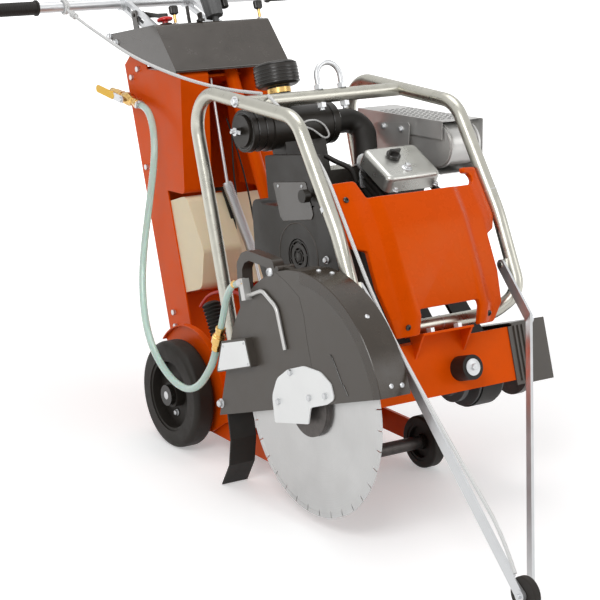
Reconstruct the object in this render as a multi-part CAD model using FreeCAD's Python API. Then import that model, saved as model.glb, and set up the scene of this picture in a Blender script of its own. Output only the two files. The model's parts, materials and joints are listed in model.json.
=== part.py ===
"""Walk-behind concrete saw: one STEP file for each sub-part.

The machine is drawn level about the blade-shaft axis (X to the machine's left, Y to the rear,
Z up, X = 0 on its middle plane). It stands nose up on its lowered swing arm, so every shape is
then turned by PITCH about the blade shaft and lifted until the wheels stand on Z = 0.
"""
import FreeCAD
import Part
import math
import os

V = FreeCAD.Vector

# ---------------------------------------------------------------- stance
PITCH = 18.0                    # nose-up angle with the swing arm down, degrees
REAR_WHEEL_RADIUS = 134.0
REAR_AXLE = (655.0, 58.3)       # (y, z) from the blade-shaft axis, machine level
FRONT_WHEEL_RADIUS = 64.0
ARM_PIVOT = (655.0, -9.0)
ARM_LENGTH = 444.0
RUNNING_GAP = 0.05              # radial clearance of a shaft in its hole
SKIN_GAP = 0.5                  # between pieces that pass each other

SIN = math.sin(math.radians(PITCH))
COS = math.cos(math.radians(PITCH))
SHAFT_HEIGHT = REAR_WHEEL_RADIUS + REAR_AXLE[0] * SIN - REAR_AXLE[1] * COS

# ---------------------------------------------------------------- blade and its shaft
BLADE_DIAMETER = 500.0
BLADE_CORE = 3.0                # core thickness
BLADE_SEGMENT = 3.8             # cutting segment thickness
SEGMENT_HEIGHT = 10.0
SEGMENT_COUNT = 34
GULLET_WIDTH = 2.6
GULLET_DEPTH = 14.0
BLADE_BORE = 12.7               # radius of a 25.4 mm bore
BLADE_X = -285.0
FLANGE_RADIUS = 69.0
FLANGE_THICKNESS = 18.0
OUTER_FLANGE_THICKNESS = 12.0
SHAFT_RADIUS = 19.0
SHAFT_END = 300.0
BEARING_LENGTH = 32.0
BEARING_RADIUS = 42.0
BEARING_FLANGE = 14.0
BEARING_FLANGE_RADIUS = 58.0

# ---------------------------------------------------------------- chassis
SHEET = 6.0
CHASSIS_HALF_WIDTH = 206.0      # outer face of the side plates
CHASSIS_FRONT = -104.0
CHASSIS_REAR = 830.0
CHASSIS_TOP = 92.0
CHASSIS_BOTTOM = -30.0
CHASSIS_PIVOT_DEPTH = -48.0
FRONT_PLATE_LIP = 4.0
FRONT_PLATE_HALF_WIDTH = CHASSIS_HALF_WIDTH + FRONT_PLATE_LIP
BELT_BAY_X = 108.0              # inner plate beside the belts
BELT_BAY_END = 95.0
BELT_SLOT_END = 275.0
SHAFT_HOLE_RADIUS = 26.0
BRACKET_HALF_WIDTH = 70.0
BRACKET_FRONT = -150.0
BRACKET_TOP = 112.0
BRACKET_SHEET = 5.0
FENDER_GAP = 30.0
FENDER_LIP = 10.0               # outside the side plates
FENDER_EDGE = CHASSIS_HALF_WIDTH + FENDER_LIP
FENDER_SHEET = 3.0
FENDER_FROM = 58.0              # degrees above the rear horizontal
FENDER_TO = 200.0
BUMPER_X = 48.0
BUMPER_Z = 20.0
BUMPER_RADIUS = 28.0
BUMPER_LENGTH = 46.0
BUMPER_HUB = 9.0

# ---------------------------------------------------------------- roll frame
TUBE_RADIUS = 16.0
TUBE_WALL = 3.0
HOOP_X = CHASSIS_HALF_WIDTH + TUBE_RADIUS
HOOP_REAR = 388.0
HOOP_FOOT = 24.0
HOOP_TOP_REAR = (388.0, 774.0)
HOOP_TOP_FRONT = (-30.0, 621.0)
HOOP_KNEE = (-113.0, 353.0)
HOOP_BOTTOM = (-141.0, 165.0)
HOOP_TURN = (170.0, -95.0, 128.0)
HOOP_BEND = 80.0
HOOP_FOOT_SHEET = 6.0
HOOP_KNEE_BEND = 300.0
HOOP_LOW_BEND = 55.0
SEAM_RING = 2.0
CROSS_TUBE = (168.0, 692.0)
EYE_X = 22.0
EYE_LEG = 33.0                  # half the spacing of the U-bolt's legs
EYE_ROD = 6.5
EYE_TOP = 62.0                  # above the cross tube's axis
NUT_FLATS = 20.0
NUT_HEIGHT = 11.0

# ---------------------------------------------------------------- column, tank, console
COLUMN_HALF_WIDTH = 150.0
COLUMN_FRONT = 706.0
COLUMN_REAR = 815.0
COLUMN_SHEET = 4.0
COLUMN_SHOULDER = 915.0
COLUMN_TOP = 945.0
COVER_INNER = 69.0
COVER_SHEET = 3.0
COVER_OUTLINE = ((706.0, 568.0), (625.0, 545.0), (545.0, 836.0), (706.0, 880.0))
TANK_FRONT = 585.0
TANK_INNER = -34.0
TANK_BOTTOM = 305.0
TANK_TOP = 541.0
TANK_EDGE = 26.0
CONSOLE_HALF_WIDTH = 168.0
CONSOLE_SHEET = 4.0
CONSOLE_OUTLINE = ((528.0, 829.0), (597.0, 970.0), (851.0, 1003.0), (782.0, 942.0))
CONSOLE_EDGE = 12.0
CROSS_PLATE = (900.0, 930.0)    # low and high edge of the plate that carries the console
GUIDE = (636.0, 672.0)          # front and rear of the handle guides
GUIDE_WALL = 5.0

# ---------------------------------------------------------------- handlebar
HANDLE_AXIS = (860.0, 1085.0)
HANDLE_HALF_LENGTH = 482.0
HANDLE_RADIUS = 14.0
GRIP_LENGTH = 132.0
GRIP_RADIUS = 17.5
GRIP_COLLAR = 3.0
POST_X = 97.0
POST_FOOT = (640.0, 917.0)
POST_HEIGHT = 32.0
POST_THICKNESS = 12.0
POST_GAP = 0.4
SLIDE_TRAVEL = 40.0
CLAMP_PIVOT = (800.0, 1039.2)
CLAMP_TIP = (684.0, 1008.0)
CLAMP_SHANK = 5.0
CLAMP_EAR = 12.0

# ---------------------------------------------------------------- controls on the console
STOP_POINT = (-123.0, 621.0)
STOP_RADIUS = 20.0
STOP_TRAVEL = 5.0
KNOB_LEFT = (-89.0, 628.0)
KNOB_RIGHT = (154.0, 612.0)
KNOB_RADIUS = 13.0
KNOB_STEM = 4.0
KNOB_RISE = 24.0
KEY_POINT = (-29.0, 605.0)
KEY_RADIUS = 11.0
LEVER_POINT = (-49.0, 627.0)
LEVER_LENGTH = 44.0
LEVER_WIDTH = 9.0
LEVER_THICKNESS = 5.0
LEVER_PIVOT_DEPTH = 14.0        # below the console's top
LEVER_SWING = 30.0              # degrees each way
LEVER_AXLE_RADIUS = 4.0
CRANK_SHAFT_RADIUS = 8.0
CRANK_HUB_Z = (985.0, 1076.0)   # low and high end of the hub, on the depth screw's line
CRANK_HUB_RADII = (24.0, 28.0)
CRANK_ARM_ANGLE = 19.0          # degrees from +X
CRANK_ARM_LENGTH = 52.0
CRANK_ARM_THICKNESS = 9.0
CRANK_KNOB_RADIUS = 11.0
CRANK_KNOB_LENGTH = 68.0

# ---------------------------------------------------------------- depth screw and spring
SCREW_TUBE_RADIUS = 17.0
SCREW_X = 25.0
SCREW_TOP = (589.0, 825.0)
SCREW_BOTTOM = (451.0, 128.0)
SPRING_RADIUS = 14.0
SPRING_WIRE = 4.0
SPRING_TOP = (-36.0, 600.0, 556.0)
SPRING_BOTTOM = (0.0, 590.0, 364.0)
SPRING_HANGER = (-30.0, 604.0, 828.0)
SPRING_FOOT = (14.0, 586.0, 98.0)
SPRING_ROD = 4.0

# ---------------------------------------------------------------- engine
CRANK_AXIS = (190.0, 333.0)
BLOCK_X = (-75.0, 105.0)
BLOCK_Y = (90.0, 290.0)
BLOCK_TOP = 396.0
CYLINDER_X = (18.0, 122.0)
CYLINDER_HALF_WIDTH = 56.0
CYLINDER_FROM = 62.0
CYLINDER_TO = 205.0
COVER_X = (4.0, 155.0)
COVER_HALF_WIDTH = 60.0
VALVE_COVER_HEIGHT = 40.0
VALVE_COVER_EDGE = 16.0
OIL_CAP_RADIUS = 17.0
OIL_CAP_X = 62.0
BLOWER_X = (-140.0, -78.0)
BLOWER_OUTLINE = (
    (330.0, 506.0), (358.0, 369.0), (322.0, 215.0), (70.0, 200.0), (18.0, 300.0),
    (5.0, 440.0), (30.0, 452.0), (100.0, 425.0), (292.0, 470.0),
)
BLOWER_EDGE = 22.0
GRILLE_CENTRE = (176.0, 330.0)
GRILLE_RADIUS = 42.0
GRILLE_DEPTH = 6.0
PANEL_OUTLINE = ((262.0, 475.0), (60.0, 430.0), (52.0, 545.0), (246.0, 578.0))
PANEL_X = (-140.0, -116.0)
PLATFORM_Z = (510.0, 514.0)
PLATFORM_X = (-112.0, 160.0)
PLATFORM_Y = (128.0, 300.0)
CHOKE_POINT = (84.0, 459.0)
CHOKE_RADIUS = 15.0
CHOKE_TRAVEL = 25.0
CRANK_STUB = 15.0
PULLEY_X = (126.0, 196.0)
SHAFT_PULLEY_RADIUS = 66.0
CRANK_PULLEY_RADIUS = 54.0
PULLEY_LIP = 6.0
BELT_THICKNESS = 9.0
BELT_GAP = 0.3
CANISTER_AXIS = (250.0, 640.0)
CANISTER_X = (-184.0, 60.0)
CANISTER_RADIUS = 49.5
PRE_CLEANER_X = -67.0
PRE_CLEANER_RADIUS = 52.0
PRE_CLEANER_Z = (735.0, 792.0)
NECK_RADIUS = 26.0
ELBOW_RADIUS = 29.0
ELBOW_FOOT = (98.0, 184.0, 514.0)

# ---------------------------------------------------------------- muffler
MUFFLER_X = (200.0, 292.0)
MUFFLER_FRONT = (37.0, 533.0)
MUFFLER_REAR = (257.0, 598.0)
MUFFLER_RADIUS = 49.0
SEAM_WIDTH = 5.0
SEAM_HEIGHT = 4.0
SHIELD_X = (194.0, 306.0)
SHIELD_SHEET = 2.0
SHIELD_RISE = 59.0
SHIELD_FLANGE = 42.0
SHIELD_FRONT = 26.0
SHIELD_REAR = 74.0
HEAT_PLATE_X = 183.0
HEAT_PLATE_OUTLINE = ((243.0, 628.0), (103.0, 602.0), (132.0, 520.0), (241.0, 520.0))
TAIL_RADIUS = 16.0

# ---------------------------------------------------------------- front cover
FRONT_COVER_SHEET = 4.0
FRONT_COVER_EDGE = 205.0
FRONT_COVER_BODY = 165.0
FRONT_COVER_PANEL = 108.0
FRONT_COVER_TOP = 463.0
FRONT_COVER_BOTTOM = 113.0
FRONT_COVER_LUGS = (372.0, 440.0)   # heights of the lugs that rest on the hoops

# ---------------------------------------------------------------- flange guard box
BOX_OUTER_X = 308.0
BOX_TOP = 100.0
BOX_BOTTOM = -42.0
BOX_SHEET = 3.0
BOX_REAR = 101.0

# ---------------------------------------------------------------- blade guard
GUARD_OUTER_X = -315.0
GUARD_INNER_X = -240.0
GUARD_MIDDLE_X = (GUARD_OUTER_X + GUARD_INNER_X) / 2
GUARD_SHEET = 3.0
GUARD_RADIUS = 298.0
GUARD_TAIL = 352.0
GUARD_HINGE = (30.0, 304.0)
GUARD_SPLIT = (                 # line between the two halves, (y, z)
    (28.0, 310.0), (-30.0, 267.0), (-64.0, 235.0), (-70.0, 191.0), (-66.0, 142.0), (-68.0, -10.0),
)
GUARD_SHAFT_HOLE = 80.0
HANDLE_LOOP_WIDTH = 28.0
HINGE_PIN = 3.0
HINGE_KNUCKLE = 7.0
HINGE_KNUCKLE_LENGTH = 14.0
CAP_PLATE_SHEET = 3.0
CAP_PLATE_GAP = 0.5
FLAP_SHEET = 4.5
SPRAY_TUBE_RADIUS = 4.5

# ---------------------------------------------------------------- wheels and arm
WHEEL_CLEARANCE = 12.5          # from a side plate to the rear tyre
REAR_TYRE_WIDTH = 56.0
REAR_WHEEL_INNER = CHASSIS_HALF_WIDTH + WHEEL_CLEARANCE
REAR_WHEEL_X = (REAR_WHEEL_INNER, REAR_WHEEL_INNER + REAR_TYRE_WIDTH)
REAR_RIM_RADIUS = 92.0
AXLE_RADIUS = 17.0
AXLE_CAP = 7.5                  # cap beyond the tyre
AXLE_END = REAR_WHEEL_X[1] + AXLE_CAP
HUB_CAP_RADIUS = 26.0
ARM_CLEARANCE = 13.0            # from a side plate to the arm
ARM_SHEET = 8.0
FRONT_TYRE_WIDTH = 34.0
ARM_X = (CHASSIS_HALF_WIDTH - ARM_CLEARANCE - ARM_SHEET, CHASSIS_HALF_WIDTH - ARM_CLEARANCE)
FRONT_WHEEL_GAP = 2.0
FRONT_WHEEL_X = (ARM_X[0] - FRONT_WHEEL_GAP - FRONT_TYRE_WIDTH, ARM_X[0] - FRONT_WHEEL_GAP)
FRONT_AXLE_RADIUS = 9.0
ARM_HEIGHT = 54.0
ARM_TUBE_RADIUS = 20.0
ARM_TIE = 200.0                 # from the pivot to the tie tube

# ---------------------------------------------------------------- pointer
POINTER_PIVOT = (-125.0, 232.0)
POINTER_X = 197.0
POINTER_KINK = (190.0, -196.0, 105.0)
POINTER_AXLE = (-614.0, -395.0)
POINTER_BAR = (25.0, 6.0)
POINTER_WHEEL_RADIUS = 36.0
POINTER_WHEEL_WIDTH = 16.0
POINTER_PIN = 6.0

# ---------------------------------------------------------------- water
VALVE_X = -172.0
VALVE_FRONT = (738.0, 799.0)
VALVE_REAR = (866.0, 858.0)
VALVE_RADIUS = 12.0
INLET_RADIUS = 10.0
INLET_LENGTH = 22.0
VALVE_LEVER_X = -194.0
VALVE_LEVER_LENGTH = 130.0
HOSE_RADIUS = 9.0
SPRAY_HOSE_RADIUS = 8.0
ROPE_RADIUS = 4.0

# ---------------------------------------------------------------- extent
REAR_EXTENT = HANDLE_AXIS[0] * COS + HANDLE_AXIS[1] * SIN + GRIP_RADIUS + GRIP_COLLAR
FRONT_EXTENT = POINTER_AXLE[0] * COS + POINTER_AXLE[1] * SIN - POINTER_WHEEL_RADIUS
ORIGIN_SHIFT = -(REAR_EXTENT + FRONT_EXTENT) / 2
PIVOT_HEIGHT = SHAFT_HEIGHT - ARM_PIVOT[0] * SIN + ARM_PIVOT[1] * COS
ARM_ANGLE = PITCH + math.degrees(math.asin((PIVOT_HEIGHT - FRONT_WHEEL_RADIUS) / ARM_LENGTH))


# ================================================================ shapes
def box(x0, x1, y0, y1, z0, z1):
    return Part.makeBox(x1 - x0, y1 - y0, z1 - z0, V(x0, y0, z0))


def rod(start, end, radius):
    """Round bar between two points."""
    run = end - start
    return Part.makeCylinder(radius, run.Length, start, run)


def across(x0, x1, centre, radius):
    """Round bar along X at a (y, z) place."""
    return rod(V(x0, *centre), V(x1, *centre), radius)


def ring_across(x0, x1, centre, outer, inner):
    return across(x0, x1, centre, outer).cut(across(x0 - 1, x1 + 1, centre, inner))


def rounded_wire(points, radii, closed=False):
    """Straight edges joined by tangent arcs at the corners."""
    count = len(points)
    if not isinstance(radii, (list, tuple)):
        radii = [radii] * count
    entries = []
    exits = []
    arcs = []
    for i, point in enumerate(points):
        inner = closed or 0 < i < count - 1
        if not inner or radii[i] <= 0:
            entries.append(point)
            exits.append(point)
            arcs.append(None)
            continue
        back = (points[i - 1] - point).normalize()
        ahead = (points[(i + 1) % count] - point).normalize()
        half = back.getAngle(ahead) / 2
        reach = radii[i] / math.tan(half)
        middle = point + (back + ahead).normalize() * (radii[i] / math.sin(half) - radii[i])
        entries.append(point + back * reach)
        exits.append(point + ahead * reach)
        arcs.append(Part.Arc(entries[i], middle, exits[i]).toShape())
    edges = []
    for i in range(count):
        if arcs[i]:
            edges.append(arcs[i])
        following = (i + 1) % count
        has_run = closed or following
        if has_run and exits[i].distanceToPoint(entries[following]) > 1e-6:
            edges.append(Part.LineSegment(exits[i], entries[following]).toShape())
    return Part.Wire(edges)


def prism_x(x0, x1, outline, radii=0.0):
    """Plate or block with an outline of (y, z) points."""
    wire = rounded_wire([V(x0, y, z) for y, z in outline], radii, closed=True)
    return Part.Face(wire).extrude(V(x1 - x0, 0, 0))


def prism_y(y0, y1, outline, radii=0.0):
    """Plate or block with an outline of (x, z) points."""
    wire = rounded_wire([V(x, y0, z) for x, z in outline], radii, closed=True)
    return Part.Face(wire).extrude(V(0, y1 - y0, 0))


def prism_z(z0, z1, outline, radii=0.0):
    """Plate or block with an outline of (x, y) points."""
    wire = rounded_wire([V(x, y, z0) for x, y in outline], radii, closed=True)
    return Part.Face(wire).extrude(V(0, 0, z1 - z0))


def along(points, radii, radius):
    """Round bar that follows straight runs and tangent arcs."""
    wire = rounded_wire(points, radii)
    start = wire.Edges[0].Vertexes[0].Point
    tangent = wire.Edges[0].tangentAt(wire.Edges[0].FirstParameter)
    profile = Part.Wire([Part.makeCircle(radius, start, tangent)])
    return wire.makePipeShell([profile], True, False)


def pipe_along(points, radii, radius, wall):
    return along(points, radii, radius).cut(along(points, radii, radius - wall))


def bar(start, end, width, thickness, side=V(1, 0, 0)):
    """Flat bar between two points, its thickness as near as possible to the side direction."""
    ahead = (end - start).normalize()
    through = (side - ahead * side.dot(ahead)).normalize()
    wide = ahead.cross(through)
    turn = FreeCAD.Rotation(through, wide, ahead, "XYZ")
    block = Part.makeBox(thickness, width, start.distanceToPoint(end), V(-thickness / 2, -width / 2, 0))
    block.Placement = FreeCAD.Placement(start, turn)
    return block


def hexagon(point, axis, flats, height):
    turn = FreeCAD.Rotation(V(0, 0, 1), axis)
    corner = flats / math.sqrt(3)
    angles = [math.radians(60 * i) for i in range(6)]
    corners = [V(corner * math.cos(angle), corner * math.sin(angle), 0) for angle in angles]
    head = Part.Face(Part.makePolygon(corners + corners[:1])).extrude(V(0, 0, height))
    head.Placement = FreeCAD.Placement(point, turn)
    return head


def shank(place, clearance=0.0):
    """Shank of a bolt, going in from its seat against its direction."""
    point, axis, flats, grip = place
    return rod(point - V(*axis) * grip, point, flats * 0.3 + clearance)


def bolt(place):
    """Hexagon bolt with its head on the seat."""
    point, axis, flats, grip = place
    return hexagon(point, V(*axis), flats, flats * 0.55).fuse(shank(place))


def drilled(shape, places):
    """Shape with a clearance hole for each bolt."""
    return shape.cut(Part.makeCompound([shank(place, RUNNING_GAP) for place in places]))


def mirrored(shape):
    return shape.mirror(V(0, 0, 0), V(1, 0, 0))


def both_sides(shape):
    return [shape, mirrored(shape)]


def cord(name, points, radius):
    """Tube of a cord: straight runs and arcs as large as their runs allow."""
    radii = [0.0]
    runs = [points[i].distanceToPoint(points[i + 1]) for i in range(len(points) - 1)]
    for i in range(1, len(points) - 1):
        back = (points[i - 1] - points[i]).normalize()
        ahead = (points[i + 1] - points[i]).normalize()
        half_turn = (math.pi - back.getAngle(ahead)) / 2
        radii.append(0.45 * min(runs[i - 1], runs[i]) / math.tan(half_turn))
    radii.append(0.0)
    wire = rounded_wire(points, radii)
    tube = along(points, radii, radius)
    expected = math.pi * radius ** 2 * wire.Length
    smallest = min(radii[1:-1]) if len(points) > 2 else 0.0
    print(f"{name}: length {wire.Length:.0f}, runs {min(runs):.0f}..{max(runs):.0f}, "
          f"smallest radius {smallest:.0f}, volume {tube.Volume / expected:.4f} of section x length")
    return tube


# ================================================================ chassis
def chassis_frame():
    half = CHASSIS_HALF_WIDTH
    front = CHASSIS_FRONT + SHEET
    side = (
        (front, CHASSIS_BOTTOM), (front, CHASSIS_TOP - SHEET), (CHASSIS_REAR, CHASSIS_TOP - SHEET),
        (CHASSIS_REAR, 20.0), (725.0, CHASSIS_PIVOT_DEPTH), (590.0, CHASSIS_PIVOT_DEPTH),
        (520.0, CHASSIS_BOTTOM),
    )
    left = prism_x(-half, -half + SHEET, side)
    right = prism_x(half - SHEET, half, side)
    right = right.cut(box(0, half + 1, front - 1, BELT_BAY_END, CHASSIS_BOTTOM - 1, CHASSIS_TOP))
    plate = box(
        -FRONT_PLATE_HALF_WIDTH, FRONT_PLATE_HALF_WIDTH, CHASSIS_FRONT, front, CHASSIS_BOTTOM, CHASSIS_TOP,
    )
    bay = box(BELT_BAY_X, BELT_BAY_X + SHEET, front, BELT_SLOT_END, CHASSIS_BOTTOM, CHASSIS_TOP - SHEET)
    deck = box(-half, half, front, CHASSIS_REAR, CHASSIS_TOP - SHEET, CHASSIS_TOP)
    low, high = CHASSIS_TOP - SHEET - 1, CHASSIS_TOP + 1
    slot = box(BELT_BAY_X + SHEET, half - SHEET, front, BELT_SLOT_END, low, high)
    bay_front = box(BELT_BAY_X + SHEET, half + 1, front, BELT_BAY_END, low, high)
    frame = plate.multiFuse([left, right, bay, deck.cut(slot).cut(bay_front), front_bracket()])
    frame = frame.multiFuse(fenders())
    swing = across(-half - 1, half + 1, ARM_PIVOT, ARM_TUBE_RADIUS + RUNNING_GAP)
    axle = across(-half - 1, half + 1, REAR_AXLE, AXLE_RADIUS)
    bay_wall = (BELT_BAY_X - 1, BELT_BAY_X + SHEET + 1)
    wheels = box(*bay_wall, BELT_BAY_END, BELT_SLOT_END + 1, CHASSIS_BOTTOM - 1, 62.0)
    shaft = across(-half - 1, BELT_BAY_X + SHEET + 1, (0.0, 0.0), SHAFT_HOLE_RADIUS)
    frame = frame.cut(swing).cut(axle).cut(shaft).cut(wheels).removeSplitter()
    return drilled(frame, foot_bolts() + bracket_bolts())


def front_bracket():
    """Angle on the front plate that carries the roll frame's lower tube."""
    wide = BRACKET_HALF_WIDTH
    rear = HOOP_TURN[1] + TUBE_RADIUS
    top = box(-wide, wide, BRACKET_FRONT, rear, BRACKET_TOP - BRACKET_SHEET, BRACKET_TOP)
    under = BRACKET_TOP - BRACKET_SHEET
    outline = ((BRACKET_FRONT + 4, under), (CHASSIS_FRONT, under), (CHASSIS_FRONT, CHASSIS_TOP - 34))
    gussets = [prism_x(x, x + BRACKET_SHEET, outline) for x in (-wide, wide - BRACKET_SHEET)]
    riser = box(-wide, wide, CHASSIS_FRONT, CHASSIS_FRONT + SHEET, CHASSIS_TOP, under)
    return top.multiFuse(gussets + [riser])


def fenders():
    """Curved guards over the rear wheels, welded to the side plates."""
    inner = REAR_WHEEL_RADIUS + FENDER_GAP
    ring = ring_across(CHASSIS_HALF_WIDTH - SHEET, FENDER_EDGE, REAR_AXLE, inner + FENDER_SHEET, inner)
    far = 3 * inner
    wedge = [REAR_AXLE]
    for angle in (FENDER_FROM, FENDER_FROM + 60, FENDER_TO - 60, FENDER_TO):
        turn = math.radians(angle)
        wedge.append((REAR_AXLE[0] + far * math.cos(turn), REAR_AXLE[1] + far * math.sin(turn)))
    arc = ring.common(prism_x(CHASSIS_HALF_WIDTH - SHEET, FENDER_EDGE, wedge))
    web_outline = prism_x(CHASSIS_HALF_WIDTH - SHEET, CHASSIS_HALF_WIDTH, wedge)
    web = across(CHASSIS_HALF_WIDTH - SHEET, CHASSIS_HALF_WIDTH, REAR_AXLE, inner + FENDER_SHEET)
    web = web.common(web_outline).cut(across(0, 300, REAR_AXLE, AXLE_RADIUS + 30))
    web = web.common(box(0, 300, 0, 1000, CHASSIS_TOP - SHEET, 1000))
    return both_sides(arc.fuse(web))


def front_bumper():
    face = CHASSIS_FRONT
    centre = V(BUMPER_X, face, BUMPER_Z)
    ahead = V(0, -1, 0)
    roller = Part.makeCylinder(BUMPER_RADIUS, BUMPER_LENGTH, centre, ahead)
    sleeve = Part.makeCylinder(BUMPER_HUB, BUMPER_LENGTH - 3, centre, ahead)
    bore = Part.makeCylinder(BUMPER_HUB, BUMPER_LENGTH, centre, ahead)
    return [roller.cut(bore), sleeve]


# ================================================================ roll frame
def hoop_points():
    """Left half of the roll frame, from its rear foot to the front seam."""
    return [
        V(-HOOP_X, HOOP_REAR, HOOP_FOOT), V(-HOOP_X, *HOOP_TOP_REAR), V(-HOOP_X, *HOOP_TOP_FRONT),
        V(-HOOP_X, *HOOP_KNEE), V(-HOOP_X, *HOOP_BOTTOM), V(-HOOP_TURN[0], *HOOP_TURN[1:]),
        V(0, *HOOP_TURN[1:]),
    ]


def hoop_outer():
    radii = [0, HOOP_BEND, HOOP_BEND, HOOP_KNEE_BEND, HOOP_LOW_BEND, HOOP_LOW_BEND, 0]
    return along(hoop_points(), radii, TUBE_RADIUS)


def roll_frame():
    radii = [0, HOOP_BEND, HOOP_BEND, HOOP_KNEE_BEND, HOOP_LOW_BEND, HOOP_LOW_BEND, 0]
    outer = hoop_outer()
    bore = along(hoop_points(), radii, TUBE_RADIUS - TUBE_WALL)
    foot = box(
        -CHASSIS_HALF_WIDTH - HOOP_FOOT_SHEET, -CHASSIS_HALF_WIDTH, HOOP_REAR - 36, HOOP_REAR + 36,
        HOOP_FOOT, CHASSIS_TOP - SHEET,
    )
    y, z = POINTER_PIVOT
    ear_end = -POINTER_X - POINTER_BAR[1] / 2 - 2 * SKIN_GAP
    ear = box(-HOOP_X, ear_end, y - 12, y + 12, z - 12, z + 12)
    pin = across(-POINTER_X - 20, -POINTER_X + POINTER_BAR[1] / 2 + 2, POINTER_PIVOT, POINTER_PIN)
    half = drilled(outer.multiFuse([foot, ear, pin]), foot_bolts()).cut(bore)
    cross = across(-HOOP_X, HOOP_X, CROSS_TUBE, TUBE_RADIUS)
    cross = cross.cut(across(-HOOP_X - 1, HOOP_X + 1, CROSS_TUBE, TUBE_RADIUS - TUBE_WALL))
    cross = cross.cut(outer).cut(mirrored(outer))
    for x in eye_legs():
        cross = cross.cut(rod(V(x, CROSS_TUBE[0], 0), V(x, CROSS_TUBE[0], 900), EYE_ROD + 0.1))
    return both_sides(half) + [largest(cross)]


def largest(shape):
    return max(shape.Solids, key=lambda solid: solid.Volume)


def eye_legs():
    return (EYE_X - EYE_LEG, EYE_X + EYE_LEG)


def lifting_eye():
    y, z = CROSS_TUBE
    low = z - TUBE_RADIUS - NUT_HEIGHT - 6
    top = z + EYE_TOP + TUBE_RADIUS
    first, second = eye_legs()
    points = [V(first, y, low), V(first, y, top), V(second, y, top), V(second, y, low)]
    bend = EYE_LEG - 0.01
    bow = along(points, [0, bend, bend, 0], EYE_ROD)
    nuts = []
    for x in eye_legs():
        for base in (z + TUBE_RADIUS, z - TUBE_RADIUS - NUT_HEIGHT):
            nut = hexagon(V(x, y, base), V(0, 0, 1), NUT_FLATS, NUT_HEIGHT)
            nuts.append(nut.cut(rod(V(x, y, low), V(x, y, top), EYE_ROD)))
    return [bow] + nuts


# ================================================================ column
def post_direction():
    return V(0, HANDLE_AXIS[0] - POST_FOOT[0], HANDLE_AXIS[1] - POST_FOOT[1]).normalize()


def post_point(y):
    """Point on the posts' centre line."""
    ahead = post_direction()
    return V(0, y, POST_FOOT[1] + (y - POST_FOOT[0]) * ahead.z / ahead.y)


def post_bar(x, start, end, grow):
    shift = V(x, 0, 0)
    return bar(start + shift, end + shift, POST_HEIGHT + 2 * grow, POST_THICKNESS + 2 * grow)


def column_frame():
    wide = COLUMN_HALF_WIDTH
    outline = (
        (COLUMN_FRONT, CHASSIS_TOP), (COLUMN_FRONT, COLUMN_TOP), (COLUMN_FRONT + 46, COLUMN_TOP),
        (COLUMN_REAR, COLUMN_SHOULDER), (COLUMN_REAR, CHASSIS_TOP),
    )
    sides = both_sides(prism_x(-wide, -wide + COLUMN_SHEET, outline))
    rear = box(-wide, wide, COLUMN_REAR - COLUMN_SHEET, COLUMN_REAR, CHASSIS_TOP, COLUMN_SHOULDER - 10)
    foot = box(-wide, wide, COLUMN_FRONT, COLUMN_REAR, CHASSIS_TOP, CHASSIS_TOP + SHEET)
    inner = CONSOLE_HALF_WIDTH - CONSOLE_SHEET
    front = (COLUMN_FRONT, COLUMN_FRONT + SHEET)
    level = SPRING_HANGER[2]
    cross = box(-inner, inner, *front, *CROSS_PLATE)
    hanger = box(-52, 52, SPRING_HANGER[1] - 14, COLUMN_FRONT, level, level + SHEET)
    riser = box(-52, 52, *front, level, CROSS_PLATE[1])
    brace = box(-wide, wide, *front, level, level + 40)
    frame = rear.multiFuse(sides + [foot, cross, hanger, riser, brace] + handle_guides())
    screw = rod(screw_point(CHASSIS_TOP), screw_point(SCREW_TOP[1] + 60), SCREW_TUBE_RADIUS)
    return drilled(frame.cut(screw).removeSplitter(), column_bolts())


def handle_guides():
    """Sleeves that the handle posts slide in, carried by the cross plate."""
    pieces = []
    start = post_point(GUIDE[0])
    end = post_point(GUIDE[1])
    far = post_direction() * 90
    for x in (-POST_X, POST_X):
        sleeve = post_bar(x, start, end, GUIDE_WALL)
        shelf_top = POST_FOOT[1] - 30
        shelf = box(x - 14, x + 14, GUIDE[0] + 12, COLUMN_FRONT + SHEET, shelf_top - SHEET, shelf_top)
        web = box(x - 14, x + 14, COLUMN_FRONT, COLUMN_FRONT + SHEET, shelf_top - SHEET, CROSS_PLATE[1])
        post = post_bar(x, start - far, end + far, POST_GAP)
        knee = box(x - 14, x + 14, GUIDE[0] + 12, GUIDE[0] + 30, shelf_top, post_point(GUIDE[0] + 12).z)
        pieces.append(sleeve.multiFuse([shelf, web, knee]).cut(post))
    return pieces


def column_covers():
    """Channels on the column's front, open towards the column."""
    sheet = COVER_SHEET
    (rear_y, low_z), (low_y, low_front), (top_y, top_front), (_, top_z) = COVER_OUTLINE
    hollow = (
        (rear_y + 1, low_z + sheet), (low_y + sheet, low_front + 2 * sheet),
        (top_y + 2 * sheet, top_front - sheet), (rear_y + 1, top_z - sheet),
    )
    solid = prism_x(-COLUMN_HALF_WIDTH, -COVER_INNER, COVER_OUTLINE, [0, 12, 12, 0])
    inside = prism_x(-COLUMN_HALF_WIDTH + sheet, -COVER_INNER - sheet, hollow)
    return both_sides(solid.cut(inside))


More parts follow.
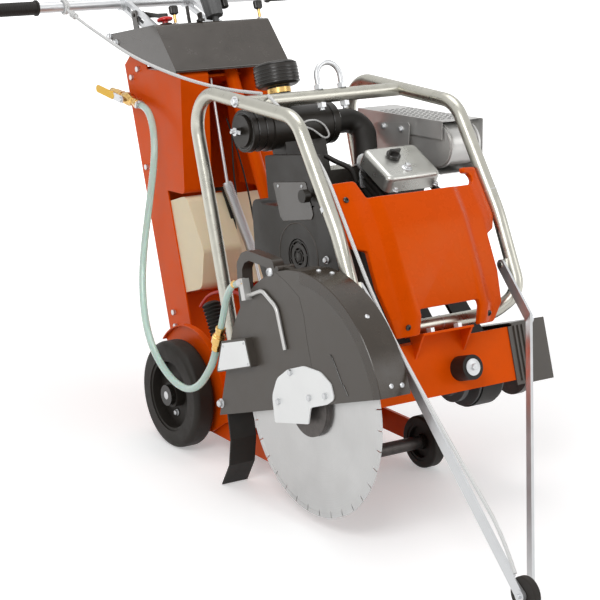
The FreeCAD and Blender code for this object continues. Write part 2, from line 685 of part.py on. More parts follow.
def fuel_tank():
    """Moulded tank: the body inside the column and a bulge at its front left."""
    inner = COLUMN_HALF_WIDTH - COLUMN_SHEET
    rear = COLUMN_REAR - COLUMN_SHEET - 6
    body = box(-inner, inner, COLUMN_FRONT + SHEET, rear, TANK_BOTTOM, TANK_TOP)
    bulge_outline = (
        (COLUMN_FRONT + SHEET + 20, TANK_BOTTOM), (TANK_FRONT + 40, TANK_BOTTOM),
        (TANK_FRONT, TANK_BOTTOM + 90), (TANK_FRONT + 40, TANK_TOP), (COLUMN_FRONT + SHEET + 20, TANK_TOP),
    )
    bulge = prism_x(-inner, TANK_INNER, bulge_outline, [0, TANK_EDGE, TANK_EDGE, TANK_EDGE, 0])
    return body.fuse(bulge).removeSplitter()


def console_inner(margin):
    """Console side outline drawn in by the wall."""
    (y0, z0), (y1, z1), (y2, z2), (y3, z3) = CONSOLE_OUTLINE
    return (
        (y0 + margin, z0 - 20), (y1 + margin * 0.9, z1 - margin),
        (y2 - margin * 2.6, z2 - margin * 1.3), (y3, z3 - margin * 1.6),
    )


def console_cover():
    """Hollow console shell, open underneath, with slots for the handle posts and a clamp ear."""
    wide = CONSOLE_HALF_WIDTH
    solid = prism_x(-wide, wide, CONSOLE_OUTLINE, [6, CONSOLE_EDGE, 5, 5])
    hollow = prism_x(-wide + CONSOLE_SHEET, wide - CONSOLE_SHEET, console_inner(CONSOLE_SHEET))
    shell = solid.cut(hollow)
    slope = console_slope()
    y, z = CLAMP_PIVOT
    base = z - console_top(0, y).z
    outline = (
        (y - CLAMP_EAR, z - base - slope * CLAMP_EAR), (y - CLAMP_EAR, z + CLAMP_EAR),
        (y + CLAMP_EAR, z + CLAMP_EAR), (y + CLAMP_EAR, z - base + slope * CLAMP_EAR),
    )
    ear_x = -POST_X - POST_THICKNESS / 2 - POST_GAP
    ear = prism_x(ear_x - CONSOLE_SHEET, ear_x, outline, [0, CLAMP_EAR - 2, CLAMP_EAR - 2, 0])
    ear = ear.cut(across(ear_x - 9, ear_x + 9, CLAMP_PIVOT, CLAMP_SHANK + RUNNING_GAP))
    shell = shell.fuse(ear)
    for x in (-POST_X, POST_X):
        shell = shell.cut(post_bar(x, post_point(GUIDE[0]), V(0, *HANDLE_AXIS), 3 * POST_GAP))
    for point, direction, radius in console_holes():
        shell = shell.cut(rod(point - direction * 30, point + direction * 30, radius))
    return lever_mounting(shell).removeSplitter()


def lever_mounting(shell):
    """Slot for the throttle lever, with two cheeks under it for the axle."""
    base = console_top(*LEVER_POINT)
    turn = math.radians(LEVER_SWING)
    reach = LEVER_PIVOT_DEPTH * math.tan(turn) + LEVER_WIDTH / 2 / math.cos(turn) + 2
    half = LEVER_THICKNESS / 2 + 1
    slot = box(base.x - half, base.x + half, base.y - reach, base.y + reach, base.z - 20, base.z + 20)
    axle = base - V(0, 0, LEVER_PIVOT_DEPTH)
    for side in (-1, 1):
        inner = base.x + side * (half + 3)
        outer = base.x + side * (half + 7)
        cheek = box(min(inner, outer), max(inner, outer), base.y - 8, base.y + 8, axle.z - 8, base.z - 2)
        shell = shell.fuse(cheek)
    hole = across(base.x - 20, base.x + 20, (axle.y, axle.z), LEVER_AXLE_RADIUS + RUNNING_GAP)
    return shell.cut(slot).cut(hole)


def console_slope():
    front, rear = CONSOLE_OUTLINE[1:3]
    return (rear[1] - front[1]) / (rear[0] - front[0])


def console_top(x, y):
    front = CONSOLE_OUTLINE[1]
    return V(x, y, front[1] + console_slope() * (y - front[0]))


def console_holes():
    """Place, direction and radius of the round holes in the console's top."""
    up = V(0, 0, 1)
    stem = KNOB_STEM + RUNNING_GAP
    return (
        (console_top(*STOP_POINT), up, STOP_RADIUS * 0.4 + RUNNING_GAP),
        (console_top(*KNOB_LEFT), up, stem),
        (console_top(*KNOB_RIGHT), up, stem),
        (console_top(*KEY_POINT), up, stem),
        (screw_point(CRANK_HUB_Z[0]), screw_direction(), CRANK_SHAFT_RADIUS + RUNNING_GAP),
    )


def lift_screw_tube():
    """Tube that holds the depth screw, from the console to the deck."""
    outer = rod(screw_point(CHASSIS_TOP + 12), screw_point(SCREW_TOP[1] + 40), SCREW_TUBE_RADIUS)
    bore = rod(screw_point(CHASSIS_TOP), screw_point(SCREW_TOP[1] + 50), SCREW_TUBE_RADIUS - 3)
    y = screw_point(CHASSIS_TOP + 12).y
    foot = box(SCREW_X - 30, SCREW_X + 30, y - 30, y + 30, CHASSIS_TOP, CHASSIS_TOP + 16)
    return outer.fuse(foot).cut(bore)


def screw_point(z):
    share = (z - SCREW_BOTTOM[1]) / (SCREW_TOP[1] - SCREW_BOTTOM[1])
    return V(SCREW_X, SCREW_BOTTOM[0] + share * (SCREW_TOP[0] - SCREW_BOTTOM[0]), z)


def screw_direction():
    return (screw_point(SCREW_TOP[1]) - screw_point(SCREW_BOTTOM[1])).normalize()


def lift_linkage():
    """Counterbalance spring as a sleeve, and its two rods."""
    top = V(*SPRING_TOP)
    bottom = V(*SPRING_BOTTOM)
    cap = (top - bottom).normalize() * 8
    inner = SPRING_RADIUS - SPRING_WIRE
    coil = rod(bottom, top, SPRING_RADIUS).cut(rod(bottom - cap, top + cap, inner))
    plugs = [rod(bottom, bottom + cap, inner), rod(top - cap, top, inner)]
    upper = rod(top, V(*SPRING_HANGER), SPRING_ROD)
    lower = rod(V(*SPRING_FOOT), bottom, SPRING_ROD)
    x, y, z = SPRING_FOOT
    foot = box(x - 15, x + 15, y - 15, y + 15, CHASSIS_TOP, z + 6)
    joined = coil.multiFuse(plugs + [upper, lower, foot])
    return joined.cut(box(-60, 60, 500, 700, SPRING_HANGER[2], SPRING_HANGER[2] + 20))


# ================================================================ blade and drive
def shaft_bearings():
    places = []
    for face, way in ((-CHASSIS_HALF_WIDTH + SHEET, 1), (BELT_BAY_X, -1)):
        flange = rod(V(face, 0, 0), V(face + way * BEARING_FLANGE, 0, 0), BEARING_FLANGE_RADIUS)
        hub = rod(V(face, 0, 0), V(face + way * BEARING_LENGTH, 0, 0), BEARING_RADIUS)
        inner_end = face + way * (BEARING_LENGTH + 1)
        hole = rod(V(face - way, 0, 0), V(inner_end, 0, 0), SHAFT_RADIUS + RUNNING_GAP)
        places.append(flange.fuse(hub).cut(hole))
    return places


def blade_shaft():
    shoulder = BLADE_X + BLADE_CORE / 2 + FLANGE_THICKNESS
    end = BLADE_X - BLADE_CORE / 2 - OUTER_FLANGE_THICKNESS
    body = across(shoulder, SHAFT_END - 30, (0, 0), SHAFT_RADIUS)
    nose = across(end, shoulder, (0, 0), BLADE_BORE - RUNNING_GAP)
    stub = across(SHAFT_END - 30, SHAFT_END, (0, 0), BLADE_BORE)
    return body.multiFuse([nose, stub])


def blade():
    radius = BLADE_DIAMETER / 2
    core_radius = radius - SEGMENT_HEIGHT
    core = across(BLADE_X - BLADE_CORE / 2, BLADE_X + BLADE_CORE / 2, (0, 0), core_radius + 2)
    rim = ring_across(BLADE_X - BLADE_SEGMENT / 2, BLADE_X + BLADE_SEGMENT / 2, (0, 0), radius, core_radius)
    disc = core.fuse(rim).cut(across(BLADE_X - 5, BLADE_X + 5, (0, 0), BLADE_BORE))
    gullets = []
    half = GULLET_WIDTH / 2
    for i in range(SEGMENT_COUNT):
        slot = box(BLADE_X - 5, BLADE_X + 5, -half, half, radius - GULLET_DEPTH, radius + 5)
        foot = across(BLADE_X - 5, BLADE_X + 5, (0, radius - GULLET_DEPTH), 1.3 * half)
        gullet = slot.fuse(foot)
        gullet.rotate(V(0, 0, 0), V(1, 0, 0), 360 / SEGMENT_COUNT * i)
        gullets.append(gullet)
    return disc.cut(Part.makeCompound(gullets))


def blade_flanges():
    inner_face = BLADE_X + BLADE_CORE / 2
    outer_face = BLADE_X - BLADE_CORE / 2
    inner = ring_across(inner_face, inner_face + FLANGE_THICKNESS, (0, 0), FLANGE_RADIUS, BLADE_BORE)
    outer = ring_across(outer_face - OUTER_FLANGE_THICKNESS, outer_face, (0, 0), FLANGE_RADIUS, BLADE_BORE)
    spare = ring_across(SHAFT_END - 30, SHAFT_END - 12, (0, 0), FLANGE_RADIUS, BLADE_BORE)
    end = outer_face - OUTER_FLANGE_THICKNESS
    head = hexagon(V(end, 0, 0), V(-1, 0, 0), 30.0, 8.0)
    return [inner, outer, spare, head]


def pulley(centre, radius, bore):
    x0, x1 = PULLEY_X
    wheel = across(x0, x1, centre, radius + PULLEY_LIP)
    groove = ring_across(x0 + PULLEY_LIP, x1 - PULLEY_LIP, centre, radius + PULLEY_LIP + 1, radius)
    return wheel.cut(groove).cut(across(x0 - 1, x1 + 1, centre, bore))


def shaft_pulley():
    return pulley((0.0, 0.0), SHAFT_PULLEY_RADIUS, SHAFT_RADIUS)


def crank_pulley():
    stub = across(BLOCK_X[1] - 29, PULLEY_X[1], CRANK_AXIS, CRANK_STUB)
    return [pulley(CRANK_AXIS, CRANK_PULLEY_RADIUS, CRANK_STUB), stub]


def belt_loop(grow):
    """Outline that runs round both pulleys, as a solid."""
    small = CRANK_PULLEY_RADIUS + grow
    large = SHAFT_PULLEY_RADIUS + grow
    x0 = PULLEY_X[0] + PULLEY_LIP + 1
    x1 = PULLEY_X[1] - PULLEY_LIP - 1
    distance = math.hypot(*CRANK_AXIS)
    heading = math.atan2(CRANK_AXIS[1], CRANK_AXIS[0])
    spread = math.acos((large - small) / distance)
    corners = []
    wheels = (((0, 0), large, 1), (CRANK_AXIS, small, 1), (CRANK_AXIS, small, -1), ((0, 0), large, -1))
    for centre, radius, sign in wheels:
        turn = heading + sign * spread
        corners.append((centre[0] + radius * math.cos(turn), centre[1] + radius * math.sin(turn)))
    strands = prism_x(x0, x1, corners)
    return strands.multiFuse([across(x0, x1, (0, 0), large), across(x0, x1, CRANK_AXIS, small)])


def drive_belts():
    return belt_loop(BELT_GAP + BELT_THICKNESS).cut(belt_loop(BELT_GAP))


# ================================================================ engine
def cylinder_turn(shape, sign):
    """Turn an upright cylinder shape about the crank to one side of the V."""
    turned = shape.copy()
    turned.rotate(V(0, *CRANK_AXIS), V(1, 0, 0), sign * 45)
    return turned


def engine_block():
    y, z = CRANK_AXIS
    half = CYLINDER_HALF_WIDTH
    x0, x1 = CYLINDER_X
    block = box(*BLOCK_X, *BLOCK_Y, CHASSIS_TOP, BLOCK_TOP)
    fins = box(x0, x1, y - half, y + half, z + CYLINDER_FROM, z + CYLINDER_TO)
    for i in range(6):
        level = z + CYLINDER_FROM + 48 + i * 15
        groove = box(x0 - 1, x1 + 1, y - 80, y + 80, level, level + 7)
        core = box(x0 + 12, x1 - 12, y - half + 12, y + half - 12, level - 1, level + 8)
        fins = fins.cut(groove.cut(core))
    cylinders = [cylinder_turn(fins, sign) for sign in (1, -1)]
    shroud = box(BLOWER_X[1], x0, y - 60, y + 60, z, z + 60)
    bore = across(BLOCK_X[1] - 30, PULLEY_X[1], CRANK_AXIS, CRANK_STUB + RUNNING_GAP)
    return block.multiFuse(cylinders + [shroud]).cut(bore)


def valve_cover_shape():
    y, z = CRANK_AXIS
    low = z + CYLINDER_TO
    outline = (
        (COVER_X[0], y - COVER_HALF_WIDTH), (COVER_X[1], y - COVER_HALF_WIDTH),
        (COVER_X[1], y + COVER_HALF_WIDTH), (COVER_X[0], y + COVER_HALF_WIDTH),
    )
    edge = VALVE_COVER_EDGE
    body = prism_z(low, low + VALVE_COVER_HEIGHT, outline, edge)
    top = [each for each in body.Edges if each.BoundBox.ZMin > low + VALVE_COVER_HEIGHT - 0.01]
    return body.makeFillet(edge * 0.7, top)


def valve_covers():
    covers = [cylinder_turn(valve_cover_shape(), sign) for sign in (1, -1)]
    axis = oil_cap_axis()
    hole = rod(axis[0] - axis[1] * 20, axis[0] + axis[1] * 20, OIL_CAP_RADIUS * 0.6 + RUNNING_GAP)
    return [cover.cut(hole) for cover in covers]


def oil_cap_axis():
    """Centre of the oil cap's seat on the front valve cover, and its direction."""
    turn = math.radians(45)
    height = CYLINDER_TO + VALVE_COVER_HEIGHT
    out = V(0, -math.sin(turn), math.cos(turn))
    seat = V(OIL_CAP_X, *CRANK_AXIS) + out * height + V(0, out.z, -out.y) * 16
    return seat, out


def oil_cap():
    seat, out = oil_cap_axis()
    disc = rod(seat, seat + out * 6, OIL_CAP_RADIUS)
    plug = rod(seat - out * 14, seat, OIL_CAP_RADIUS * 0.6)
    grip = bar(seat + out * 5, seat + out * 18, 26.0, 6.0)
    return disc.multiFuse([plug, grip])


def blower_housing():
    """Fan housing, control panel above it and the platform over the cylinders."""
    x0, x1 = BLOWER_X
    housing = prism_x(x0, x1, BLOWER_OUTLINE, [BLOWER_EDGE, 30, 40, 40, 30, 6, 12, 30, 12])
    recess = across(x0 - 1, x0 + GRILLE_DEPTH, GRILLE_CENTRE, GRILLE_RADIUS)
    guard = ring_across(x0 + 1, x0 + GRILLE_DEPTH, GRILLE_CENTRE, 0.7 * GRILLE_RADIUS, 0.5 * GRILLE_RADIUS)
    housing = housing.cut(recess).fuse(guard)
    panel = prism_x(*PANEL_X, PANEL_OUTLINE, 8.0).cut(housing)
    panel = largest(panel).cut(across(PANEL_X[0] - 1, PANEL_X[1] + 1, CHOKE_POINT, 5 + RUNNING_GAP))
    platform = box(*PLATFORM_X, *PLATFORM_Y, *PLATFORM_Z)
    skirt_y = PLATFORM_Y[0] - SHEET / 2
    skirt = box(*PLATFORM_X, skirt_y, PLATFORM_Y[0], PLATFORM_Z[0] - 70, PLATFORM_Z[1])
    platform = platform.fuse(skirt)
    engine = engine_block()
    platform = platform.cut(engine).cut(panel).cut(housing)
    for cover in (cylinder_turn(valve_cover_shape(), sign) for sign in (1, -1)):
        platform = platform.cut(cover)
    return [largest(housing.cut(engine)), largest(panel.cut(engine)), largest(platform)]


def choke_knob():
    y, z = CHOKE_POINT
    face = PANEL_X[0]
    stem = rod(V(face + 24, y, z), V(face - 10, y, z), 5.0)
    knob = rod(V(face - 10, y, z), V(face - 26, y, z), CHOKE_RADIUS)
    return stem.fuse(knob)


def air_cleaner():
    y, z = CANISTER_AXIS
    x0, x1 = CANISTER_X
    body = across(x0, x1, CANISTER_AXIS, CANISTER_RADIUS)
    band = ring_across(x0 + 56, x0 + 68, CANISTER_AXIS, CANISTER_RADIUS + 3, CANISTER_RADIUS - 1)
    dome = across(x0 - 8, x0, CANISTER_AXIS, CANISTER_RADIUS - 12)
    nut = across(x0 - 24, x0 - 8, CANISTER_AXIS, 9.0)
    outlet = rod(V(x1, y, z), V(x1 + 14, y, z), ELBOW_RADIUS)
    saddle = box(x0 + 90, x1 - 40, y - 30, y + 30, PLATFORM_Z[1], z - 30)
    return body.multiFuse([band, dome, nut, outlet, saddle])


def pre_cleaner():
    y = CANISTER_AXIS[0]
    low, high = PRE_CLEANER_Z
    neck = rod(V(PRE_CLEANER_X, y, CANISTER_AXIS[1] + 20), V(PRE_CLEANER_X, y, low), NECK_RADIUS)
    bowl = rod(V(PRE_CLEANER_X, y, low), V(PRE_CLEANER_X, y, high), PRE_CLEANER_RADIUS)
    rim = [edge for edge in bowl.Edges if edge.BoundBox.ZLength < 0.01]
    bowl = bowl.makeFillet(12.0, rim)
    return largest(neck.fuse(bowl).cut(across(*CANISTER_X, CANISTER_AXIS, CANISTER_RADIUS)))


def intake_elbow():
    """Rubber bend from the canister's outlet down to the carburettor flange."""
    x, y, z = ELBOW_FOOT
    start = V(CANISTER_X[1] + 14, *CANISTER_AXIS)
    bend = V(x + 62, *CANISTER_AXIS)
    foot = V(x, y, z)
    below = foot + (foot - bend) * 0.3
    tube = along([start, bend, below], [0, 36, 0], ELBOW_RADIUS)
    flange = box(x - 40, x + 40, y - 36, y + 36, z, z + 8)
    return tube.fuse(flange).cut(box(-300, 300, 0, 400, z - 90, z))


# ================================================================ exhaust
def stadium(x0, x1, front, rear, radius):
    """Solid with two round ends along X."""
    run = V(0, rear[0] - front[0], rear[1] - front[1]).normalize()
    side = V(0, -run.z, run.y) * radius
    corners = [V(0, *front) + side, V(0, *rear) + side, V(0, *rear) - side, V(0, *front) - side]
    middle = prism_x(x0, x1, [(corner.y, corner.z) for corner in corners])
    return middle.multiFuse([across(x0, x1, front, radius), across(x0, x1, rear, radius)])


def muffler_axes():
    run = V(0, MUFFLER_REAR[0] - MUFFLER_FRONT[0], MUFFLER_REAR[1] - MUFFLER_FRONT[1]).normalize()
    return run, V(0, -run.z, run.y)


def muffler():
    x0, x1 = MUFFLER_X
    body = stadium(x0, x1, MUFFLER_FRONT, MUFFLER_REAR, MUFFLER_RADIUS)
    seams = []
    for x in (x0 + 4, x1 - 4 - SEAM_WIDTH):
        seams.append(stadium(x, x + SEAM_WIDTH, MUFFLER_FRONT, MUFFLER_REAR, MUFFLER_RADIUS + SEAM_HEIGHT))
    port = V(CYLINDER_X[1], 292, 438)
    pipe = along([port, port + V(58, 0, 0), V(x0 + 36, *MUFFLER_REAR)], [0, 26, 0], TAIL_RADIUS)
    return body.multiFuse(seams + [pipe])


def muffler_shield():
    """Sheet shield over the muffler with its two sides, and the heat plate beside the engine."""
    run, up = muffler_axes()
    front = V(0, *MUFFLER_FRONT) - run * SHIELD_FRONT
    rear = V(0, *MUFFLER_REAR) + run * SHIELD_REAR
    x0, x1 = SHIELD_X
    sheet = SHIELD_SHEET
    deep = -MUFFLER_RADIUS - 16

    def panel(start, stop, begin, low, high):
        """Sheet between two heights above the muffler's axis."""
        corners = [begin + up * high, rear + up * high, rear + up * low, begin + up * low]
        return prism_x(start, stop, [(corner.y, corner.z) for corner in corners])

    cap = panel(x0, x1, front, SHIELD_RISE - sheet, SHIELD_RISE)
    left = panel(x0, x0 + sheet, front, SHIELD_RISE - SHIELD_FLANGE, SHIELD_RISE)
    right = panel(x1 - sheet, x1, front - run * 14, deep, SHIELD_RISE)
    hole = (MUFFLER_FRONT[0] + 28, MUFFLER_FRONT[1] + 6)
    right = right.cut(across(x1 - 9, x1 + 9, hole, MUFFLER_RADIUS))
    base = panel(x0, x1, front, deep, deep + sheet)
    stay = across(MUFFLER_X[1], x1 - sheet, (MUFFLER_REAR[0] - 30, MUFFLER_REAR[1]), 20.0)
    plate = prism_x(HEAT_PLATE_X, HEAT_PLATE_X + sheet, HEAT_PLATE_OUTLINE, 8.0)
    arm = across(HEAT_PLATE_X + sheet, MUFFLER_X[0], (150.0, 566.0), 8.0)
    return [cap.multiFuse([left, right, base, stay]).cut(muffler()), plate.fuse(arm)]


# ================================================================ covers at the front
def front_cover():
    """Moulded panel between the front legs, with raised middle, wings and a notch at the bottom."""
    edge = FRONT_COVER_EDGE
    body = FRONT_COVER_BODY
    panel = FRONT_COVER_PANEL
    thick = FRONT_COVER_SHEET

    def section(z, lean):
        left_half = [(-edge, 0), (-body, -14), (-panel - 8, -16), (-panel + 8, -26)]
        front = left_half + [(-x, y) for x, y in reversed(left_half)]
        back = [(x, y + thick) for x, y in reversed(front)]
        return [V(x, y + lean, z) for x, y in front + back]

    def leg_y(z):
        low, high = (HOOP_BOTTOM, HOOP_KNEE) if z < HOOP_KNEE[1] else (HOOP_KNEE, HOOP_TOP_FRONT)
        return low[0] + (z - low[1]) * (high[0] - low[0]) / (high[1] - low[1])

    pieces = []
    for low, high in ((FRONT_COVER_BOTTOM, HOOP_KNEE[1]), (HOOP_KNEE[1], FRONT_COVER_TOP)):
        face = Part.Face(rounded_wire(section(low, leg_y(low)), 0, closed=True))
        pieces.append(face.extrude(V(0, leg_y(high) - leg_y(low), high - low)))
    shell = pieces[0].fuse(pieces[1])
    half = [
        (0, 166.0), (80, 166.0), (80, FRONT_COVER_BOTTOM), (134, FRONT_COVER_BOTTOM), (150, 150.0),
        (body - 1, 222.0), (body - 1, 310.0), (192, 320.0), (edge - SKIN_GAP, 345.0),
        (edge - SKIN_GAP, FRONT_COVER_TOP - 2), (140, FRONT_COVER_TOP - 2), (130, 424.0), (0, 420.0),
    ]
    outline = half + [(-x, z) for x, z in reversed(half[1:-1])]
    moulding = largest(shell.common(prism_y(-260, 0, outline, 0)))
    lugs = []
    for z in FRONT_COVER_LUGS:
        y = leg_y(z)
        lugs += both_sides(box(edge - 13, HOOP_X, y, y + 2 * thick, z - 8, z + 8))
    return moulding.multiFuse(lugs).cut(Part.makeCompound(both_sides(hoop_outer())))


def flange_guard():
    """Sheet box over the unused flange, open towards the machine and downwards."""
    x1 = BOX_OUTER_X
    sheet = BOX_SHEET
    inner = CHASSIS_HALF_WIDTH
    y0 = CHASSIS_FRONT - sheet
    outline = (
        (y0, BOX_BOTTOM), (y0, BOX_TOP), (BOX_REAR, BOX_TOP), (BOX_REAR, BOX_BOTTOM + 30),
        (BOX_REAR - 40, BOX_BOTTOM),
    )
    side = prism_x(x1 - sheet, x1, outline, [4, 4, 4, 4, 4])
    front = box(inner - 6, x1, y0, CHASSIS_FRONT, BOX_BOTTOM, BOX_TOP)
    front = front.cut(box(inner - 7, inner + 5, y0 - 1, CHASSIS_FRONT + 1, CHASSIS_TOP, BOX_TOP + 1))
    top = box(inner, x1, y0, BOX_REAR, BOX_TOP - sheet, BOX_TOP)
    rear = box(inner, x1, BOX_REAR - sheet, BOX_REAR, CHASSIS_BOTTOM, BOX_TOP)
    starts = [inner + 8 + 12 * i for i in range(3)]
    ribs = [box(x, x + 5, y0 - 4, y0, BOX_BOTTOM + 8, BOX_TOP - 8) for x in starts]
    shell = side.multiFuse([front, top, rear] + ribs)
    return shell.cut(Part.makeCompound(both_sides(hoop_outer())))


# ================================================================ blade guard
def guard_outline():
    """Side view of the whole guard: arc over the blade, straight tail and level lower edge."""
    reach = GUARD_TAIL
    radius = GUARD_RADIUS
    turn = math.acos(radius / reach)
    tangent = V(0, radius * math.cos(turn), radius * math.sin(turn))
    front = V(0, -radius, 0)
    top = V(0, 0, radius)
    tail = V(0, reach, 0)
    edges = [
        Part.Arc(front, top, tangent).toShape(),
        Part.LineSegment(tangent, tail).toShape(),
        Part.LineSegment(tail, front).toShape(),
    ]
    return Part.Wire(edges)


def guard_solid(shrink):
    """Guard volume, drawn in by a wall thickness."""
    wire = guard_outline()
    x0 = GUARD_OUTER_X + shrink
    depth = GUARD_INNER_X - GUARD_OUTER_X - 2 * shrink
    face = Part.Face(wire)
    if shrink:
        scale = (GUARD_RADIUS - shrink) / GUARD_RADIUS
        shrunk = face.copy()
        shrunk.scale(scale, V(0, 0, 0))
        face = shrunk
    face.translate(V(x0, 0, 0))
    return face.extrude(V(depth, 0, 0))


def guard_shell():
    hollow = guard_solid(GUARD_SHEET)
    below = hollow.copy()
    below.translate(V(0, 0, -20))
    shell = guard_solid(0).cut(hollow.fuse(below))
    hole = across(GUARD_INNER_X - GUARD_SHEET - 1, GUARD_INNER_X + 1, (0, 0), GUARD_SHAFT_HOLE)
    return shell.cut(hole)


def guard_front_region(gap):
    far = -400.0
    points = [(y - gap, z) for y, z in GUARD_SPLIT]
    points = points + [(far, -10.0), (far, 400.0), (points[0][0], 400.0)]
    return prism_x(GUARD_OUTER_X - 10, GUARD_INNER_X + 10, points)


def hinge_knuckles(moving):
    """Knuckles about the hinge pin: two on the rear guard, one between them on the front guard."""
    middle = GUARD_MIDDLE_X
    length = HINGE_KNUCKLE_LENGTH
    y, z = GUARD_HINGE
    starts = [-length / 2] if moving else [-length * 1.5 - SKIN_GAP, length / 2 + SKIN_GAP]
    knuckles = []
    for start in starts:
        x0 = middle + start
        sleeve = across(x0, x0 + length, GUARD_HINGE, HINGE_KNUCKLE)
        if moving:
            side = ((y, z), (y, z + 5), (y - 34, z - 5), (y - 36, z - 12), (y - 8, z - 7))
        else:
            side = ((y, z), (y, z + 5), (y + 34, z - 3), (y + 34, z - 9), (y + 8, z - 7))
        piece = sleeve.fuse(prism_x(x0, x0 + length, side))
        bore = HINGE_PIN + RUNNING_GAP if moving else HINGE_PIN
        knuckles.append(piece.cut(across(x0 - 1, x0 + length + 1, GUARD_HINGE, bore)))
    return knuckles


def guard_rear():
    """Fixed half of the guard with hinge pin, handle loop, pocket box and its carrier."""
    shell = guard_shell().cut(guard_front_region(-SKIN_GAP))
    clear = across(GUARD_OUTER_X - 9, GUARD_INNER_X + 9, GUARD_HINGE, HINGE_KNUCKLE + SKIN_GAP)
    shell = largest(shell.cut(clear))
    middle = GUARD_MIDDLE_X
    pin_half = HINGE_KNUCKLE_LENGTH * 1.5 + SKIN_GAP
    pin = across(middle - pin_half, middle + pin_half, GUARD_HINGE, HINGE_PIN)
    knuckles = [knuckle.cut(guard_solid(0)) for knuckle in hinge_knuckles(False)]
    handle = guard_handle().cut(guard_solid(0))
    carrier = box(GUARD_INNER_X, -CHASSIS_HALF_WIDTH, 150, 250, 20, 60)
    pocket_outline = ((304.0, 100.0), (258.0, 169.0), (153.0, 167.0), (148.0, 101.0))
    pocket = prism_x(GUARD_OUTER_X - 18, GUARD_OUTER_X, pocket_outline, 5.0)
    return shell.multiFuse([pin, carrier, pocket, handle] + knuckles)


def guard_handle():
    """Moulded loop on top of the guard for lifting it off."""
    middle = GUARD_MIDDLE_X
    half = HANDLE_LOOP_WIDTH / 2
    outer = (
        (226.0, 180.0), (214.0, 292.0), (203.0, 338.0), (178.0, 357.0), (150.0, 360.0), (52.0, 326.0),
        (50.0, 270.0),
    )
    inner = (
        (198.0, 200.0), (192.0, 286.0), (184.0, 322.0), (170.0, 334.0), (150.0, 337.0), (82.0, 313.0),
        (80.0, 250.0),
    )
    loop = prism_x(middle - half, middle + half, outer, [0, 30, 24, 24, 24, 14, 0])
    return loop.cut(prism_x(middle - half - 1, middle + half + 1, inner, [0, 20, 12, 12, 12, 6, 0]))


def guard_front():
    shell = largest(guard_shell().common(guard_front_region(SKIN_GAP)))
    clear = across(GUARD_OUTER_X - 9, GUARD_INNER_X + 9, GUARD_HINGE, HINGE_KNUCKLE + SKIN_GAP)
    shell = largest(shell.cut(clear))
    rear_half = guard_solid(0).cut(guard_front_region(SKIN_GAP))
    knuckles = [knuckle.cut(rear_half) for knuckle in hinge_knuckles(True)]
    return shell.multiFuse(knuckles)


def guard_cap_plate():
    """Half-round zinc plate over the shaft end on the guard's outer side."""
    x1 = GUARD_OUTER_X
    outline = (
        (113.0, -28.0), (106.0, 32.0), (74.0, 69.0), (25.0, 85.0), (-40.0, 88.0), (-100.0, 71.0),
        (-132.0, 43.0), (-136.0, 9.0), (-103.0, 0.0), (-39.0, -3.0), (-20.0, -38.0),
    )
    plate = prism_x(x1 - CAP_PLATE_SHEET, x1, outline, [4, 40, 40, 60, 60, 40, 14, 14, 8, 12, 6])
    plate = plate.cut(box(x1 - CAP_PLATE_GAP, x1 + 1, -200, GUARD_SPLIT[-2][0] + 6, -50, 200))
    return drilled(plate, cap_bolts())


def splash_flap():
    """Rubber flap held between the guard's side sheets at its tail, down to the floor."""
    front = [(315.0, 45.0), (319.0, 0.0), (325.0, -61.0), (351.0, -120.0), (399.0, -164.0)]
    back = [(y + FLAP_SHEET, z + 1.0) for y, z in reversed(front)]
    return prism_x(GUARD_OUTER_X + GUARD_SHEET, GUARD_INNER_X - GUARD_SHEET, front + back, 0)


def spray_tube():
    """Water tube along the guard's outer face, with the elbow it starts from."""
    x = GUARD_OUTER_X - SPRAY_TUBE_RADIUS - 0.5
    points = [V(x, 134, 259), V(x, 70, 264), V(x, 24, 222), V(x, 18, 128)]
    tube = along(points, [0, 26, 34, 0], SPRAY_TUBE_RADIUS)
    end = V(-325.1, 150, 290)
    elbow = box(end.x - 8, GUARD_OUTER_X, 124, 140, 250, end.z + 8)
    inlet = rod(V(end.x, 130, end.z), end, SPRAY_HOSE_RADIUS + 2)
    return tube.multiFuse([elbow, inlet])


# ================================================================ wheels and swing arm
def rear_wheel():
    x0, x1 = REAR_WHEEL_X
    tyre = ring_across(x0, x1, REAR_AXLE, REAR_WHEEL_RADIUS, REAR_RIM_RADIUS)
    shoulders = [edge for edge in tyre.Edges if edge.Length > 2 * math.pi * REAR_WHEEL_RADIUS * 0.99]
    tyre = tyre.makeFillet(14.0, shoulders)
    rim = ring_across(x0 + 3, x1 - 3, REAR_AXLE, REAR_RIM_RADIUS, REAR_RIM_RADIUS - 8)
    disc = across(x0 + 18, x0 + 26, REAR_AXLE, REAR_RIM_RADIUS - 4)
    hub = across(x0, x1 - 6, REAR_AXLE, 32.0)
    wheel = rim.multiFuse([disc, hub]).cut(across(x0 - 1, x1 + 1, REAR_AXLE, AXLE_RADIUS + RUNNING_GAP))
    return [tyre, wheel]


def rear_axle():
    shaft = across(-AXLE_END, AXLE_END, REAR_AXLE, AXLE_RADIUS)
    collar_from = CHASSIS_HALF_WIDTH
    collar = across(collar_from, REAR_WHEEL_X[0] - SKIN_GAP, REAR_AXLE, AXLE_RADIUS + 10)
    cap = across(REAR_WHEEL_X[1] - 6 + SKIN_GAP, AXLE_END, REAR_AXLE, HUB_CAP_RADIUS)
    return shaft.multiFuse(both_sides(collar) + both_sides(cap))


def arm_end():
    return (ARM_PIVOT[0] - ARM_LENGTH, ARM_PIVOT[1])


def lowered(shape):
    """Turn a swing-arm shape from level with the chassis down to its working place."""
    turned = shape.copy()
    turned.rotate(V(0, *ARM_PIVOT), V(1, 0, 0), ARM_ANGLE)
    return turned


